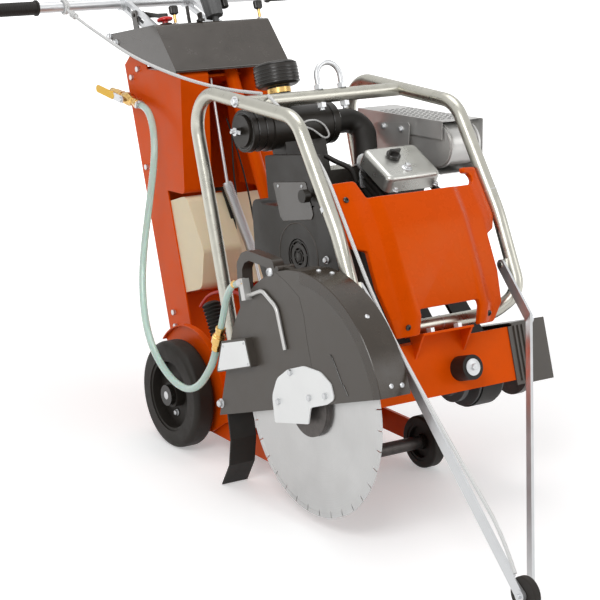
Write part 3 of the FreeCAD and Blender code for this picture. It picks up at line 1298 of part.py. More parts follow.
def swing_arm():
    y, z = ARM_PIVOT
    end_y = arm_end()[0]
    half = ARM_HEIGHT / 2
    outline = ((y + half, z - half), (y + half, z + half), (end_y - half, z + half), (end_y - half, z - half))
    plates = both_sides(prism_x(*ARM_X, outline, half - 1))
    tube = across(-CHASSIS_HALF_WIDTH, CHASSIS_HALF_WIDTH, ARM_PIVOT, ARM_TUBE_RADIUS)
    tie = across(-ARM_X[0], ARM_X[0], (y - ARM_TIE, z), ARM_TUBE_RADIUS)
    arm = tube.multiFuse(plates + [tie])
    arm = arm.cut(across(-ARM_X[1] - 1, ARM_X[1] + 1, arm_end(), FRONT_AXLE_RADIUS))
    return lowered(arm)


def front_axle():
    pin = across(-ARM_X[1] - 6, ARM_X[1] + 6, arm_end(), FRONT_AXLE_RADIUS)
    spacer_end = FRONT_WHEEL_X[0] - SKIN_GAP
    spacer = across(-spacer_end, spacer_end, arm_end(), FRONT_AXLE_RADIUS + 7)
    head = across(ARM_X[1], ARM_X[1] + 6, arm_end(), FRONT_AXLE_RADIUS + 6)
    return lowered(pin.multiFuse([spacer] + both_sides(head)))


def front_wheel():
    x0, x1 = FRONT_WHEEL_X
    tyre = ring_across(x0, x1, arm_end(), FRONT_WHEEL_RADIUS, FRONT_WHEEL_RADIUS - 18)
    corners = [edge for edge in tyre.Edges if edge.Length > 2 * math.pi * FRONT_WHEEL_RADIUS * 0.99]
    tyre = tyre.makeFillet(6.0, corners)
    rim = ring_across(x0 + 2, x1 - 2, arm_end(), FRONT_WHEEL_RADIUS - 18, FRONT_WHEEL_RADIUS - 25)
    disc = across(x0 + 13, x1 - 13, arm_end(), FRONT_WHEEL_RADIUS - 22)
    hub = across(x0, x1, arm_end(), 19.0)
    bore = across(x0 - 1, x1 + 1, arm_end(), FRONT_AXLE_RADIUS + RUNNING_GAP)
    wheel = rim.multiFuse([disc, hub]).cut(bore)
    return [lowered(tyre), lowered(wheel)]


# ================================================================ pointer
def pointer_frame():
    width, thick = POINTER_BAR
    kink_x, kink_y, kink_z = POINTER_KINK
    arms = []
    for sign in (-1, 1):
        pivot = V(sign * POINTER_X, *POINTER_PIVOT)
        kink = V(sign * kink_x, kink_y, kink_z)
        foot = V(BLADE_X + sign * (POINTER_WHEEL_WIDTH / 2 + 5), *POINTER_AXLE)
        upper = bar(pivot, kink, width, thick)
        lower = bar(kink, foot, width, thick)
        knee = rod(kink - V(thick / 2, 0, 0), kink + V(thick / 2, 0, 0), width / 2)
        eye = rod(pivot - V(thick / 2, 0, 0), pivot + V(thick / 2, 0, 0), width / 2)
        inside = V(BLADE_X + sign * (POINTER_WHEEL_WIDTH / 2 + 1), *POINTER_AXLE)
        cheek = rod(inside, inside + V(sign * 8, 0, 0), width / 2)
        arm = upper.multiFuse([lower, knee, eye, cheek])
        arms.append(arm.cut(across(pivot.x - 9, pivot.x + 9, POINTER_PIVOT, POINTER_PIN + RUNNING_GAP)))
    slot = POINTER_WHEEL_WIDTH / 2 + 1
    wheel_room = across(BLADE_X - slot, BLADE_X + slot, POINTER_AXLE, POINTER_WHEEL_RADIUS + 3)
    arms = [arm.cut(wheel_room) for arm in arms]
    pin = across(BLADE_X - 22, BLADE_X + 22, POINTER_AXLE, 5.0)
    return arms[0].multiFuse([arms[1], pin])


def pointer_wheel():
    half = POINTER_WHEEL_WIDTH / 2
    disc = across(BLADE_X - half, BLADE_X + half, POINTER_AXLE, POINTER_WHEEL_RADIUS)
    rims = [edge for edge in disc.Edges if edge.Length > 2 * math.pi * POINTER_WHEEL_RADIUS * 0.99]
    disc = disc.makeFillet(3.0, rims)
    return disc.cut(across(BLADE_X - half - 1, BLADE_X + half + 1, POINTER_AXLE, 5.0 + RUNNING_GAP))


# ================================================================ handlebar and controls
def handlebar():
    tube = across(-HANDLE_HALF_LENGTH, HANDLE_HALF_LENGTH, HANDLE_AXIS, HANDLE_RADIUS)
    bore = across(-HANDLE_HALF_LENGTH - 1, HANDLE_HALF_LENGTH + 1, HANDLE_AXIS, HANDLE_RADIUS - 2.5)
    ahead = post_direction()
    posts = []
    slot_reach = SLIDE_TRAVEL + CLAMP_SHANK + 1
    clamp = V(0, *CLAMP_PIVOT)
    for x in (-POST_X, POST_X):
        post = post_bar(x, V(0, *POST_FOOT), V(0, *HANDLE_AXIS), 0)
        middle = V(x, 0, 0) + clamp
        reach = ahead * slot_reach
        slot = bar(middle - reach, middle + reach, 2 * CLAMP_SHANK + 1.5, POST_THICKNESS + 2)
        posts.append(post.cut(slot))
    bosses = [across(x - 14, x + 14, HANDLE_AXIS, HANDLE_RADIUS + 5) for x in (-POST_X, POST_X)]
    return tube.multiFuse(posts + bosses).cut(bore)


def handle_grips():
    end = HANDLE_HALF_LENGTH
    start = end - GRIP_LENGTH
    sleeve = ring_across(start, end + 3, HANDLE_AXIS, GRIP_RADIUS, HANDLE_RADIUS)
    plug = across(end, end + 3, HANDLE_AXIS, HANDLE_RADIUS)
    collar = ring_across(start, start + 6, HANDLE_AXIS, GRIP_RADIUS + GRIP_COLLAR, HANDLE_RADIUS)
    return both_sides(sleeve.multiFuse([plug, collar]))


def clamp_lever():
    """Bolt through the left post's slot with a lever on the inner side."""
    x_out = -POST_X - POST_THICKNESS / 2 - POST_GAP - CONSOLE_SHEET
    x_in = -POST_X + POST_THICKNESS / 2 + POST_GAP
    shank = across(x_out, x_in + 4, CLAMP_PIVOT, CLAMP_SHANK)
    head = hexagon(V(x_out, *CLAMP_PIVOT), V(-1, 0, 0), 16.0, 7.0)
    hub = across(x_in + 0.3, x_in + 14, CLAMP_PIVOT, 10.0)
    grip = bar(V(x_in + 9, *CLAMP_PIVOT), V(x_in + 14, *CLAMP_TIP), 17.0, 9.0)
    return shank.multiFuse([head, hub, grip])


def estop_button():
    base = console_top(*STOP_POINT)
    up = V(0, 0, 1)
    stem = rod(base - up * 16, base + up * (STOP_TRAVEL + 4), STOP_RADIUS * 0.4)
    cap = rod(base + up * (STOP_TRAVEL + 4), base + up * (STOP_TRAVEL + 15), STOP_RADIUS)
    return stem.fuse(cap)


def pull_knob(place):
    base = console_top(*place)
    up = V(0, 0, 1)
    stem = rod(base - up * 30, base + up * KNOB_RISE, KNOB_STEM)
    knob = rod(base + up * KNOB_RISE, base + up * (KNOB_RISE + 24), KNOB_RADIUS)
    return stem.fuse(knob)


def key_switch():
    base = console_top(*KEY_POINT)
    up = V(0, 0, 1)
    barrel = rod(base - up * 16, base, KNOB_STEM)
    collar = rod(base + up * 2, base + up * 7, KEY_RADIUS)
    neck = rod(base, base + up * 2, KNOB_STEM)
    bow = box(base.x - 2, base.x + 2, base.y - 9, base.y + 9, base.z + 7, base.z + 24)
    return barrel.multiFuse([neck, collar, bow])


def throttle_lever():
    base = console_top(*LEVER_POINT)
    down = LEVER_PIVOT_DEPTH
    axle = rod(base + V(-12, 0, -down), base + V(12, 0, -down), LEVER_AXLE_RADIUS)
    blade_bar = bar(base - V(0, 0, down + 2), base + V(0, 0, LEVER_LENGTH), LEVER_WIDTH, LEVER_THICKNESS)
    return axle.fuse(blade_bar)


def lift_crank():
    """Shaft on the depth screw's line, tapered hub above the console, arm and hanging knob."""
    low, high = (screw_point(z) for z in CRANK_HUB_Z)
    up = screw_direction()
    shaft = rod(screw_point(SCREW_TOP[1] + 20), high, CRANK_SHAFT_RADIUS)
    hub = Part.makeCone(*CRANK_HUB_RADII, low.distanceToPoint(high), low, up)
    turn = math.radians(CRANK_ARM_ANGLE)
    side = V(math.cos(turn), math.sin(turn), 0)
    side = (side - up * side.dot(up)).normalize()
    half = CRANK_ARM_THICKNESS / 2
    start = high + up * half
    end = start + side * CRANK_ARM_LENGTH
    arm = bar(start, end, 2 * CRANK_KNOB_RADIUS, CRANK_ARM_THICKNESS, up)
    hub_cap = rod(high, high + up * CRANK_ARM_THICKNESS, CRANK_HUB_RADII[0] - 4)
    knob = rod(end + up * half, end - up * CRANK_KNOB_LENGTH, CRANK_KNOB_RADIUS)
    return shaft.multiFuse([hub, arm, hub_cap, knob])


# ================================================================ water and cords
def valve_line():
    """Front end of the valve and its direction to the rear."""
    start = V(VALVE_X, *VALVE_FRONT)
    return start, (V(VALVE_X, *VALVE_REAR) - start).normalize()


def valve_centre():
    start, ahead = valve_line()
    return start + ahead * 54


def water_valve():
    start, ahead = valve_line()
    end = V(VALVE_X, *VALVE_REAR)
    body = rod(start, end - ahead * INLET_LENGTH, VALVE_RADIUS)
    spigot = rod(start, end, INLET_RADIUS)
    centre = valve_centre()
    ball = rod(centre - ahead * 16, centre + ahead * 16, VALVE_RADIUS + 5)
    clip_at = start + ahead * 24
    clip = rod(clip_at, V(-COLUMN_HALF_WIDTH, clip_at.y, clip_at.z), 6.0)
    hole = rod(centre - V(8, 0, 0), centre - V(60, 0, 0), 4.0 + RUNNING_GAP)
    return body.multiFuse([spigot, ball, clip]).cut(hole)


def valve_lever():
    """Stem through the side of the valve, and a flat lever along it."""
    ahead = valve_line()[1]
    centre = valve_centre()
    seat = V(VALVE_LEVER_X, centre.y, centre.z)
    stem = rod(centre - V(8, 0, 0), seat - V(6, 0, 0), 4.0)
    lever = bar(seat - ahead * 8, seat + ahead * VALVE_LEVER_LENGTH, 20.0, 3.0)
    return stem.fuse(lever)


def water_hose():
    points = [
        V(-172, 738, 799), V(-172, 710.76, 786.444), V(-176, 684, 764), V(-184, 664, 724), V(-194, 656, 672),
        V(-206, 663, 614), V(-219, 677, 554), V(-232, 694, 490), V(-247, 707, 424), V(-262, 711, 356),
        V(-277, 702, 288), V(-291, 678, 222), V(-303, 636, 164), V(-311, 582, 116), V(-317, 524, 82),
        V(-320, 464, 66), V(-321, 406, 76), V(-322, 354, 106), V(-322, 325.7, 127.5), V(-322, 307, 151),
    ]
    return cord("water_hose", points, HOSE_RADIUS)


def hose_coupling():
    """Quick coupling between the water hose and the short hose."""
    start = V(-322, 307, 151)
    end = V(-322, 268, 200)
    body = rod(start, end, HOSE_RADIUS + 4)
    collar = rod(start + (end - start) * 0.35, start + (end - start) * 0.65, HOSE_RADIUS + 7)
    return body.fuse(collar)


def spray_hose():
    points = [
        V(-322, 268, 200), V(-322, 249.3, 223.495), V(-323, 228, 254), V(-324, 203, 278), V(-325.1, 176, 290),
        V(-325.1, 150, 290),
    ]
    return cord("spray_hose", points, SPRAY_HOSE_RADIUS)


def rope_upper():
    points = [
        V(-272, 849.0, 1075.2), V(-262, 798, 1030), V(-250, 722, 974), V(-236, 636, 910), V(-220, 540, 854),
        V(-202, 436, 802), V(-186, 334, 760), V(-172, 236, 728), V(-165, 176, 712),
    ]
    return cord("rope_upper", points, ROPE_RADIUS)


def rope_lower():
    points = [
        V(-165, 150, 702), V(-171, 92, 656), V(-184, 14, 590), V(-198, -62, 506), V(-203.6, -92, 455),
        V(-204.2, -112, 398), V(-207, -142, 320), V(-214, -188, 212), V(-226, -258, 106), V(-240, -338, 2),
        V(-255, -418, -96), V(-270, -500, -192), V(-284, -574, -280), V(-300, -612, -352),
    ]
    return cord("rope_lower", points, ROPE_RADIUS)


# ================================================================ bolts
def column_bolts():
    """Seats of the bolts in both column sides: place, direction, flats and grip."""
    places = []
    for y, z in ((747.0, 889.0), (785.0, 876.0), (787.0, 642.0), (776.0, 261.0), (779.0, 225.0)):
        for side in (-1, 1):
            places.append((V(side * COLUMN_HALF_WIDTH, y, z), (side, 0, 0), 13.0, COLUMN_SHEET))
    return places


def foot_bolts():
    places = []
    for y in (HOOP_REAR - 24, HOOP_REAR + 24):
        for side in (-1, 1):
            seat = V(side * (CHASSIS_HALF_WIDTH - SHEET), y, 52.0)
            places.append((seat, (-side, 0, 0), 13.0, SHEET + HOOP_FOOT_SHEET))
    return places


def cap_bolts():
    x = GUARD_OUTER_X - CAP_PLATE_SHEET
    spots = ((13.0, 78.0), (81.0, 18.0), (-44.0, 19.0), (-106.0, 19.0))
    return [(V(x, y, z), (-1, 0, 0), 12.0, CAP_PLATE_SHEET - CAP_PLATE_GAP) for y, z in spots]


def bracket_bolts():
    return [(V(x, -134.0, BRACKET_TOP), (0, 0, 1), 17.0, BRACKET_SHEET) for x in (-38.0, 38.0)]


def frame_bolts():
    """Hexagon bolts with their heads on the outside of the sheets."""
    places = column_bolts() + foot_bolts() + cap_bolts() + bracket_bolts()
    return [bolt(place) for place in places]


# ================================================================ assembly
def machine_frame(shape):
    placed = shape.copy()
    placed.rotate(V(0, 0, 0), V(1, 0, 0), -PITCH)
    placed.translate(V(0, ORIGIN_SHIFT, SHAFT_HEIGHT))
    return placed


def left(shapes):
    """Solids of a right-hand piece on the other side."""
    return [mirrored(shape) for shape in shapes]


BUILDERS = {
    "chassis_frame": chassis_frame, "roll_frame": roll_frame, "lifting_eye": lifting_eye,
    "column_frame": column_frame, "column_covers": column_covers, "console_cover": console_cover,
    "fuel_tank": fuel_tank, "lift_screw_tube": lift_screw_tube, "lift_linkage": lift_linkage,
    "shaft_bearings": shaft_bearings, "engine_block": engine_block, "valve_covers": valve_covers,
    "blower_housing": blower_housing, "air_cleaner": air_cleaner, "pre_cleaner": pre_cleaner,
    "intake_elbow": intake_elbow, "muffler": muffler, "muffler_shield": muffler_shield,
    "front_cover": front_cover, "flange_guard": flange_guard, "guard_rear": guard_rear,
    "guard_cap_plate": guard_cap_plate, "spray_tube": spray_tube, "splash_flap": splash_flap,
    "water_valve": water_valve, "rear_axle": rear_axle, "frame_bolts": frame_bolts,
    "drive_belts": drive_belts, "front_bumper": front_bumper, "water_hose": water_hose,
    "spray_hose": spray_hose, "hose_coupling": hose_coupling, "blade_shaft": blade_shaft,
    "blade": blade, "blade_flanges": blade_flanges, "shaft_pulley": shaft_pulley,
    "crank_pulley": crank_pulley, "rear_wheel_left": rear_wheel,
    "rear_wheel_right": lambda: left(rear_wheel()), "swing_arm": swing_arm,
    "front_axle": front_axle, "front_wheel_left": front_wheel,
    "front_wheel_right": lambda: left(front_wheel()), "pointer_frame": pointer_frame,
    "pointer_wheel": pointer_wheel, "handlebar": handlebar, "handle_grips": handle_grips,
    "guard_front": guard_front, "valve_lever": valve_lever, "estop_button": estop_button,
    "throttle_lever": throttle_lever, "panel_knob_left": lambda: pull_knob(KNOB_LEFT),
    "panel_knob_right": lambda: pull_knob(KNOB_RIGHT), "choke_knob": choke_knob,
    "key_switch": key_switch, "clamp_lever": clamp_lever, "oil_cap": oil_cap,
    "lift_crank": lift_crank, "rope_upper": rope_upper, "rope_lower": rope_lower,
}


def solids_of(built):
    shapes = built if isinstance(built, list) else [built]
    solids = []
    for shape in shapes:
        solids += shape.Solids
    return solids


def main():
    os.makedirs("parts", exist_ok=True)
    for name, build in BUILDERS.items():
        solids = [machine_frame(solid) for solid in solids_of(build())]
        shape = solids[0] if len(solids) == 1 else Part.makeCompound(solids)
        valid = all(solid.isValid() for solid in solids)
        print(f"{name}: {len(solids)} solids, volume {shape.Volume / 1000:.1f} cm3, valid {valid}")
        shape.exportStep(f"parts/{name}.step")


main()
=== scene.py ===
"""Looks of the walk-behind concrete saw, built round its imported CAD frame.

Shapes are drawn in the machine's own level frame, in millimetres about the blade shaft, as in
the part's source, and at() puts them in the row frame, in metres.
"""
import bpy
import bmesh
import json
import math
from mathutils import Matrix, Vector


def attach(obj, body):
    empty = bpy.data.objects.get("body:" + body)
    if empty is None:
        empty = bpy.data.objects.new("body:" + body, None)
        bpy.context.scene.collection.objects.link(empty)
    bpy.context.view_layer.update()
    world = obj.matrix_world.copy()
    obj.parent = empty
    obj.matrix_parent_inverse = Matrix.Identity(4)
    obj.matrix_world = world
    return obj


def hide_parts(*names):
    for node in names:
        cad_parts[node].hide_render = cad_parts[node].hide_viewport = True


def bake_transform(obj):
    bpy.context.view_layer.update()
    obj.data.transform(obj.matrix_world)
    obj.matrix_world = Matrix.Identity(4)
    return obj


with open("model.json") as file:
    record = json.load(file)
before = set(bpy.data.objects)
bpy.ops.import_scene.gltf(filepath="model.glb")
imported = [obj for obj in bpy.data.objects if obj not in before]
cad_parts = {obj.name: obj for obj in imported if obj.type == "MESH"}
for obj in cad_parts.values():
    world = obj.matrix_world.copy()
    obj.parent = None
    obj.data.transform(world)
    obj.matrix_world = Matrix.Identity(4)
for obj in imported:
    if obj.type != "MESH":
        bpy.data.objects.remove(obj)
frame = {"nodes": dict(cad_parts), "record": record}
NODES = frame["nodes"]
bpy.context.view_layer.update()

MM = 0.001
PITCH = math.radians(18.0)          # the machine leans forward on its small wheels
SIN = math.sin(PITCH)
COS = math.cos(PITCH)
WHEEL_RADIUS = 134.0
REAR_AXLE = (655.0, 58.3)           # (y, z) from the blade shaft
SHAFT_HEIGHT = WHEEL_RADIUS + REAR_AXLE[0] * SIN - REAR_AXLE[1] * COS
ORIGIN_SHIFT = -215.84081

RIGHT = Vector((1, 0, 0))
LEFT = Vector((-1, 0, 0))
FORWARD = Vector((0, -1, 0))
BACKWARD = Vector((0, 1, 0))
UP = Vector((0, 0, 1))


def at(x, y, z):
    """Machine-level millimetres to the row frame in metres."""
    return Vector((x, y * COS + z * SIN + ORIGIN_SHIFT, -y * SIN + z * COS + SHAFT_HEIGHT)) * MM


def linked(name, data):
    made = bpy.data.objects.new(name, data)
    bpy.context.scene.collection.objects.link(made)
    return made


def aimed(item, aim):
    item.rotation_euler = (Vector(aim) - item.location).to_track_quat("-Z", "Y").to_euler()


# ---------------------------------------------------------------- camera
def make_camera():
    data = bpy.data.cameras.new("camera")
    data.sensor_width = 36.0
    data.lens = 108.6
    data.shift_x = 0.0626
    data.shift_y = 0.0526
    data.clip_end = 50.0
    camera = linked("camera", data)
    camera.location = (-2.428, -3.2918, 1.477)
    aimed(camera, (-0.285, -0.0158, 0.400))
    bpy.context.scene.camera = camera


make_camera()


# ---------------------------------------------------------------- materials
def tree_of(name):
    material = bpy.data.materials.new(name)
    material.use_nodes = True
    tree = material.node_tree
    return material, tree, tree.nodes["Principled BSDF"]


def node(tree, kind, inputs, **values):
    """Shader node with its inputs linked or set."""
    made = tree.nodes.new(kind)
    for key, value in values.items():
        setattr(made, key, value)
    for key, value in inputs.items():
        if isinstance(value, bpy.types.NodeSocket):
            tree.links.new(value, made.inputs[key])
        else:
            made.inputs[key].default_value = value
    return made


def object_place(tree):
    return node(tree, "ShaderNodeTexCoord", {}).outputs["Object"]


def ramp_of(tree, factor, first, last, start=0.0, end=1.0):
    """Colour ramp between two colours."""
    ramp = node(tree, "ShaderNodeValToRGB", {"Fac": factor})
    for element, position, colour in zip(ramp.color_ramp.elements, (start, end), (first, last)):
        element.position = position
        element.color = (*colour, 1.0)
    return ramp.outputs["Color"]


def bump_of(tree, height, strength, distance):
    return node(tree, "ShaderNodeBump", {
        "Height": height, "Strength": strength, "Distance": distance}).outputs["Normal"]


def finish_of(name, colour, rough, metal=0.0, vary=0.06, spots=25.0, grain=0.0,
              grain_scale=900.0, rough_vary=0.08, sockets=None):
    """Principled material with cloudy colour, uneven roughness and a fine surface grain."""
    material, tree, shader = tree_of(name)
    place = object_place(tree)
    clouds = node(tree, "ShaderNodeTexNoise", {
        "Vector": place, "Scale": spots, "Detail": 5.0, "Roughness": 0.6}).outputs["Fac"]
    low, high = [[min(1.0, c * factor) for c in colour] for factor in (1 - vary, 1 + vary)]
    tree.links.new(ramp_of(tree, clouds, low, high, 0.3, 0.7), shader.inputs["Base Color"])
    spread = node(tree, "ShaderNodeMapRange", {
        "Value": clouds, "From Min": 0.3, "From Max": 0.7,
        "To Min": max(0.02, rough - rough_vary), "To Max": min(1.0, rough + rough_vary)})
    tree.links.new(spread.outputs["Result"], shader.inputs["Roughness"])
    shader.inputs["Metallic"].default_value = metal
    if grain:
        fine = node(tree, "ShaderNodeTexNoise", {
            "Vector": place, "Scale": grain_scale, "Detail": 3.0})
        tree.links.new(bump_of(tree, fine.outputs["Fac"], grain, 0.001), shader.inputs["Normal"])
    for key, value in (sockets or {}).items():
        shader.inputs[key].default_value = value
    return material


ORANGE_TINT = (1, 0.35, 0.03, 1)
FINISHES = {
    "orange_paint": dict(
        colour=(0.70, 0.074, 0.0004), rough=0.38, vary=0.04, grain=0.06, grain_scale=700.0,
        sockets={"Specular IOR Level": 0.30, "Specular Tint": ORANGE_TINT}),
    "orange_plastic": dict(
        colour=(0.64, 0.066, 0.0004), rough=0.28, vary=0.03,
        sockets={"Specular IOR Level": 0.34, "Specular Tint": ORANGE_TINT}),
    "grey_paint": dict(
        colour=(0.060, 0.051, 0.042), rough=0.38, grain=0.08, grain_scale=800.0,
        sockets={"Coat Weight": 0.12, "Coat Roughness": 0.25, "Specular IOR Level": 0.4}),
    "grey_plastic": dict(
        colour=(0.038, 0.029, 0.021), rough=0.22, grain=0.03,
        sockets={"Coat Weight": 0.5, "Coat Roughness": 0.1}),
    "galvanised": dict(
        colour=(0.47, 0.46, 0.405), rough=0.30, metal=0.95, vary=0.07, spots=30.0, grain=0.06,
        grain_scale=300.0, rough_vary=0.06),
    "zinc": dict(colour=(0.62, 0.63, 0.64), rough=0.36, metal=0.8, vary=0.03, spots=30.0),
    "pale_zinc": dict(colour=(0.84, 0.85, 0.845), rough=0.36, metal=0.2, vary=0.02, spots=12.0),
    "bright_steel": dict(colour=(0.56, 0.555, 0.54), rough=0.38, metal=0.6, vary=0.05, spots=18.0),
    "dark_steel": dict(
        colour=(0.10, 0.09, 0.085), rough=0.45, metal=0.7, vary=0.25, spots=70.0, grain=0.2),
    "cast_grey": dict(
        colour=(0.10, 0.10, 0.10), rough=0.6, metal=0.5, vary=0.2, grain=0.5, grain_scale=300.0),
    "cast_aluminium": dict(
        colour=(0.50, 0.50, 0.47), rough=0.30, metal=0.8, vary=0.05, spots=20.0, grain=0.05),
    "engine_metal": dict(
        colour=(0.022, 0.020, 0.017), rough=0.5, metal=0.2, vary=0.2, grain=0.4,
        grain_scale=350.0),
    "black_plastic": dict(
        colour=(0.019, 0.0155, 0.012), rough=0.38, vary=0.10, grain=0.12, grain_scale=1100.0,
        sockets={"Specular IOR Level": 0.36}),
    "black_gloss": dict(colour=(0.015, 0.013, 0.011), rough=0.22, vary=0.1, grain=0.03),
    "red_plastic": dict(colour=(0.62, 0.012, 0.010), rough=0.22, vary=0.05),
    "black_rubber": dict(
        colour=(0.013, 0.011, 0.009), rough=0.50, vary=0.12, grain=0.15, grain_scale=700.0,
        sockets={"Specular IOR Level": 0.28}),
    "wheel_rubber": dict(
        colour=(0.017, 0.0138, 0.011), rough=0.58, vary=0.12, spots=35.0, grain=0.2,
        grain_scale=500.0, sockets={"Specular IOR Level": 0.3}),
    "rim_brown": dict(colour=(0.034, 0.024, 0.015), rough=0.25, vary=0.10),
    "brass": dict(
        colour=(0.72, 0.47, 0.17), rough=0.27, metal=1.0, vary=0.12, spots=80.0, grain=0.06),
    "yellow_paint": dict(colour=(0.90, 0.52, 0.02), rough=0.4, vary=0.05, grain=0.08),
    "red_rubber": dict(colour=(0.45, 0.03, 0.02), rough=0.5, vary=0.1),
    "tank_plastic": dict(
        colour=(0.80, 0.68, 0.47), rough=0.42, vary=0.04, spots=8.0, grain=0.12,
        sockets={"Subsurface Weight": 0.25, "Subsurface Radius": (0.02, 0.012, 0.006),
                 "Subsurface Scale": 0.5}),
    "clear_hose": dict(
        colour=(0.62, 0.82, 0.74), rough=0.14, vary=0.04, spots=60.0,
        sockets={"Transmission Weight": 0.35, "IOR": 1.45, "Subsurface Weight": 0.2,
                 "Coat Weight": 0.6, "Coat Roughness": 0.08}),
}
BLADE_X = -285.0


def blade_material():
    """Ground steel: rings about the blade's centre, and a highlight that fans out from it."""
    material, tree, shader = tree_of("blade_steel")
    moved = node(tree, "ShaderNodeVectorMath", {
        0: object_place(tree), 1: -at(BLADE_X, 0, 0)}, operation="ADD").outputs[0]
    flat = node(tree, "ShaderNodeVectorMath", {0: moved, 1: (0, 1, 1)}, operation="MULTIPLY")
    radius = node(tree, "ShaderNodeVectorMath", {0: flat.outputs[0]}, operation="LENGTH")
    rings = node(tree, "ShaderNodeTexNoise", {
        "W": radius.outputs["Value"], "Scale": 900.0, "Detail": 4.0},
        noise_dimensions="1D").outputs["Fac"]
    clouds = node(tree, "ShaderNodeTexNoise", {
        "Vector": flat.outputs[0], "Scale": 14.0, "Detail": 5.0}).outputs["Fac"]
    tone = node(tree, "ShaderNodeMath", {0: rings, 1: clouds}, operation="MULTIPLY").outputs[0]
    colour = ramp_of(tree, tone, (0.50, 0.50, 0.495), (0.58, 0.58, 0.575), 0.12, 0.42)
    tree.links.new(colour, shader.inputs["Base Color"])
    spread = node(tree, "ShaderNodeMapRange", {"Value": clouds, "To Min": 0.30, "To Max": 0.38})
    tree.links.new(spread.outputs["Result"], shader.inputs["Roughness"])
    tree.links.new(bump_of(tree, rings, 0.12, 0.0004), shader.inputs["Normal"])
    tangent = node(tree, "ShaderNodeTangent", {}, direction_type="RADIAL", axis="X")
    tree.links.new(tangent.outputs[0], shader.inputs["Tangent"])
    shader.inputs["Metallic"].default_value = 1.0
    shader.inputs["Anisotropic"].default_value = 0.75
    return material


def rope_material():
    """Braided cord: crossing strands along its length, with painted shade in the grooves between
    them.
    """
    material, tree, shader = tree_of("white_rope")
    place = object_place(tree)
    strands = []
    for turn in (0.9, -0.9):
        mapped = node(tree, "ShaderNodeMapping", {"Vector": place, "Rotation": (turn, 0.0, turn)})
        wave = node(tree, "ShaderNodeTexWave", {
            "Vector": mapped.outputs["Vector"], "Scale": 110.0, "Distortion": 0.6})
        strands.append(wave.outputs["Fac"])
    weave_and_groove_shade = node(tree, "ShaderNodeMath", {0: strands[0], 1: strands[1]}, operation="MAXIMUM")
    weave_and_groove_shade = weave_and_groove_shade.outputs[0]
    # The colour runs from 0.42 in the grooves to 0.80 on the strands: painted shade in the braid's
    # creases.
    colour = ramp_of(tree, weave_and_groove_shade, (0.42, 0.42, 0.42), (0.80, 0.80, 0.79))
    tree.links.new(colour, shader.inputs["Base Color"])
    tree.links.new(bump_of(tree, weave_and_groove_shade, 0.6, 0.001), shader.inputs["Normal"])
    shader.inputs["Roughness"].default_value = 0.75
    return material


M = {name: finish_of(name, **values) for name, values in FINISHES.items()}
M["blade_steel"] = blade_material()
M["white_rope"] = rope_material()

CAD_FINISH = {"guard_cap_plate": "pale_zinc", "rear_axle": "black_gloss"}
for entry in frame["record"]["subparts"]:
    cad = NODES[entry["node"]]
    cad.data.materials.clear()
    cad.data.materials.append(M[CAD_FINISH.get(entry["node"], entry["material_slot"])])


# ---------------------------------------------------------------- shapes
def frame_along(direction):
    """Two unit vectors across a direction."""
    ahead = Vector(direction).normalized()
    helper = Vector((1, 0, 0)) if abs(ahead.x) < 0.9 else Vector((0, 0, 1))
    side = (helper - ahead * helper.dot(ahead)).normalized()
    return side, ahead.cross(side)


def rounded(outline, radius, steps=5):
    """Closed outline of (a, b) points with its corners rounded."""
    points = []
    count = len(outline)
    radii = radius if isinstance(radius, (list, tuple)) else [radius] * count
    for i in range(count):
        corner = Vector(outline[i])
        back = Vector(outline[i - 1]) - corner
        ahead = Vector(outline[(i + 1) % count]) - corner
        if radii[i] <= 0:
            points.append(tuple(corner))
            continue
        half = back.angle(ahead) / 2
        reach = min(radii[i] / math.tan(half), 0.48 * back.length, 0.48 * ahead.length)
        first = corner + back.normalized() * reach
        last = corner + ahead.normalized() * reach
        for k in range(steps + 1):
            t = k / steps
            points.append(tuple(first * (1 - t) ** 2 + corner * 2 * t * (1 - t) + last * t ** 2))
    return points


